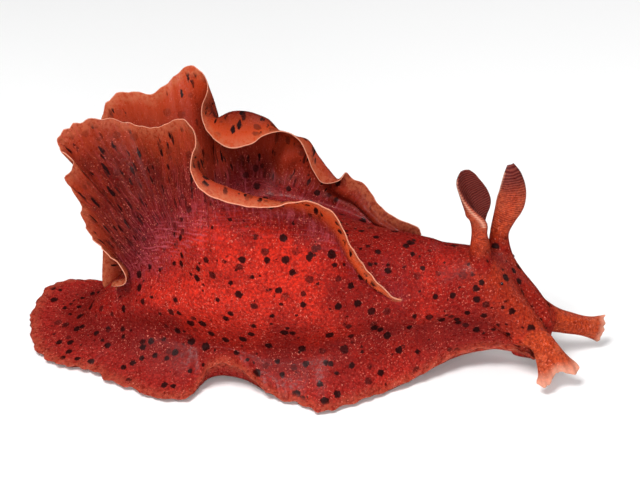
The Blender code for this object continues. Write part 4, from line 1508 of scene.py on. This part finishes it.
def mantle():
    """The shield between the parapodia: a low dome with a thin free edge."""
    first, last = MANTLE_ROWS
    middle = 0.5 * (first + last)
    half = 0.5 * (last - first)

    def place(row, column, top):
        lengthways = (row - middle) / half
        across = 2 * column / MANTLE_COLUMNS - 1
        outline = math.sqrt(max(1 - abs(lengthways) ** MANTLE_SQUARENESS, MANTLE_END))
        reach = (BACK_COLUMN - ROOT_INNER_COLUMN) * MANTLE_SPREAD * outline * abs(across)
        point = body_point(RIGHT if across < 0 else LEFT, row, BACK_COLUMN - reach)
        frill = MANTLE_FRILL * abs(across) ** 4 * math.sin(row * MANTLE_FRILL_TURN) + MANTLE_RIM
        dome = MANTLE_HEIGHT * math.sqrt(max((1 - across * across) * (1 - lengthways * lengthways), 0))
        return point + Vector((0, 0, frill + (dome + MANTLE_EDGE if top else 0)))

    def marks(row, column):
        edge = place(row, 0 if column < MANTLE_COLUMNS / 2 else MANTLE_COLUMNS, True)
        ends = min(row - first, last - row) * MANTLE_ROW_LENGTH
        return {"rim": min((place(row, column, True) - edge).length, ends)}

    shell = marked_mesh()
    rows = [first + i / 2 for i in range(2 * (last - first) + 1)]
    for top in (False, True):
        add_sheet(shell, partial(place, top=top), marks, rows, range(MANTLE_COLUMNS + 1))
    bmesh.ops.bridge_loops(shell, edges=[e for e in shell.edges if e.is_boundary])
    bmesh.ops.recalc_face_normals(shell, faces=shell.faces)
    return finished("mantle_shield", subdivided(shell, COARSE))


def siphon():
    """The siphon: a short tube with a flared, frilled mouth."""
    shell = marked_mesh()
    path = [(i / SIPHON_RINGS, 0) for i in range(SIPHON_RINGS + 1)]
    path += [(1 - SIPHON_DEPTH * i / SIPHON_BORE_RINGS, SIPHON_WALL) for i in range(SIPHON_BORE_RINGS + 1)]

    def place(at, side):
        share, wall = path[at]
        angle = math.tau * side / SIPHON_SIDES
        x, y, z, wide, deep = along(SIPHON, share)
        frill = SIPHON_FRILL * smooth(SIPHON_FRILL_START, 1, share) * math.sin(SIPHON_FRILLS * angle)
        x += (wide - wall + frill) * math.cos(angle)
        y += (deep - wall + frill) * math.sin(angle)
        return Vector((x, y, z + SIPHON_FRILL_RISE * frill))

    def marks(at, _):
        return {"rim": (1 - path[at][0]) * SIPHON_LENGTH}

    add_sheet(shell, place, marks, range(len(path)), range(SIPHON_SIDES + 1))
    bmesh.ops.remove_doubles(shell, verts=shell.verts, dist=WELD * MM)
    bmesh.ops.holes_fill(shell, edges=[e for e in shell.edges if e.is_boundary], sides=0)
    bmesh.ops.recalc_face_normals(shell, faces=shell.faces)
    return finished("siphon_tube", subdivided(shell, FINE))


def eye_spot(side):
    """The point of the skin where an eye lies, and the way out of the skin there."""
    row, column = EYE_PLACE
    here = body_point(side, row, column)
    ahead = body_point(side, row + ROW_STEP, column) - here
    inward = body_point(side, row, column + ROW_STEP) - here
    outward = ahead.cross(inward).normalized()
    if outward.z < 0:
        outward.negate()
    start = (here + outward * EYE_SEARCH + CENTRING) * MM
    point, *_ = SKIN_TREE.ray_cast(start, -outward)
    return point, outward


def eye(name, side):
    """A small black eye, sunk in the skin."""
    shell = bmesh.new()
    around, up = EYE_SEGMENTS
    bmesh.ops.create_uvsphere(shell, u_segments=around, v_segments=up, radius=EYE_RADIUS * MM)
    point, outward = eye_spot(side)
    bmesh.ops.translate(shell, verts=shell.verts, vec=point - outward * EYE_SINK * EYE_RADIUS * MM)
    return finished(name, shell)


shaped = subdivided(skin_cage(), FINE)
ripple(shaped)
SKIN_TREE = BVHTree.FromBMesh(shaped)
skin = finished("skin", shaped)
skin.data.materials.append(wet_skin())
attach(skin, "root")
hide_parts(*[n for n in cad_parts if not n.startswith(("mantle", "siphon", "eye"))])

MANTLE_SKIN = mantle_skin()
for thing, node in ((mantle(), "mantle"), (siphon(), "siphon")):
    thing.data.materials.append(MANTLE_SKIN)
    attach(thing, "root")
    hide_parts(node)

EYE_GLASS = eye_glass()
for name, side in SIDES.items():
    thing = eye("eyeball_" + name, side)
    thing.data.materials.append(EYE_GLASS)
    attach(thing, "root")
    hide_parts("eye_" + name)

# The camera, at the photograph's angle
azimuth, elevation = math.radians(CAMERA_AZIMUTH), math.radians(CAMERA_ELEVATION)
level = Vector((math.sin(azimuth), -math.cos(azimuth), 0))
back = level * math.cos(elevation) + Vector((0, 0, math.sin(elevation)))
view = bpy.data.cameras.new("camera")
view.lens = CAMERA_LENS
view.sensor_width = CAMERA_SENSOR
camera = bpy.data.objects.new("camera", view)
camera.location = (CAMERA_TARGET + CENTRING + back * CAMERA_DISTANCE) * MM
camera.rotation_euler = back.to_track_quat("Z", "Y").to_euler()
bpy.context.scene.collection.objects.link(camera)
bpy.context.scene.camera = camera


def floor():
    """The pale floor, part of the stage."""
    shell = bmesh.new()
    bmesh.ops.create_grid(shell, x_segments=1, y_segments=1, size=FLOOR_HALF)
    thing = finished("floor", shell)
    made, *_ = material("pale_floor", Base_Color=FLOOR_PALE, Roughness=0.9)
    thing.data.materials.append(made)
    thing.visible_glossy = False


floor()
world = bpy.data.worlds.new("studio")
bpy.context.scene.world = world
world.use_nodes = True
world.node_tree.nodes["Background"].inputs["Color"].default_value = (1, 1, 1, 1)
world.node_tree.nodes["Background"].inputs["Strength"].default_value = 0.3
world.cycles_visibility.glossy = False
bpy.context.scene.view_settings.view_transform = "Standard"


def soft_light(name, place, size, power, shines=True):
    """A square light that faces the animal, and may be seen in its wet shine."""
    light = bpy.data.lights.new(name, "AREA")
    light.size = size
    light.energy = power
    thing = bpy.data.objects.new(name, light)
    thing.visible_glossy = shines
    thing.location = place
    thing.rotation_euler = (Vector(place) - LIT_POINT).to_track_quat("Z", "Y").to_euler()
    bpy.context.scene.collection.objects.link(thing)


soft_light("key", (-0.35, -0.75, 1.5), 0.6, 27)
soft_light("front", (0.25, -1.3, 0.5), 0.9, 13, False)
soft_light("far", (0.9, 0.9, 1.0), 1.0, 6)
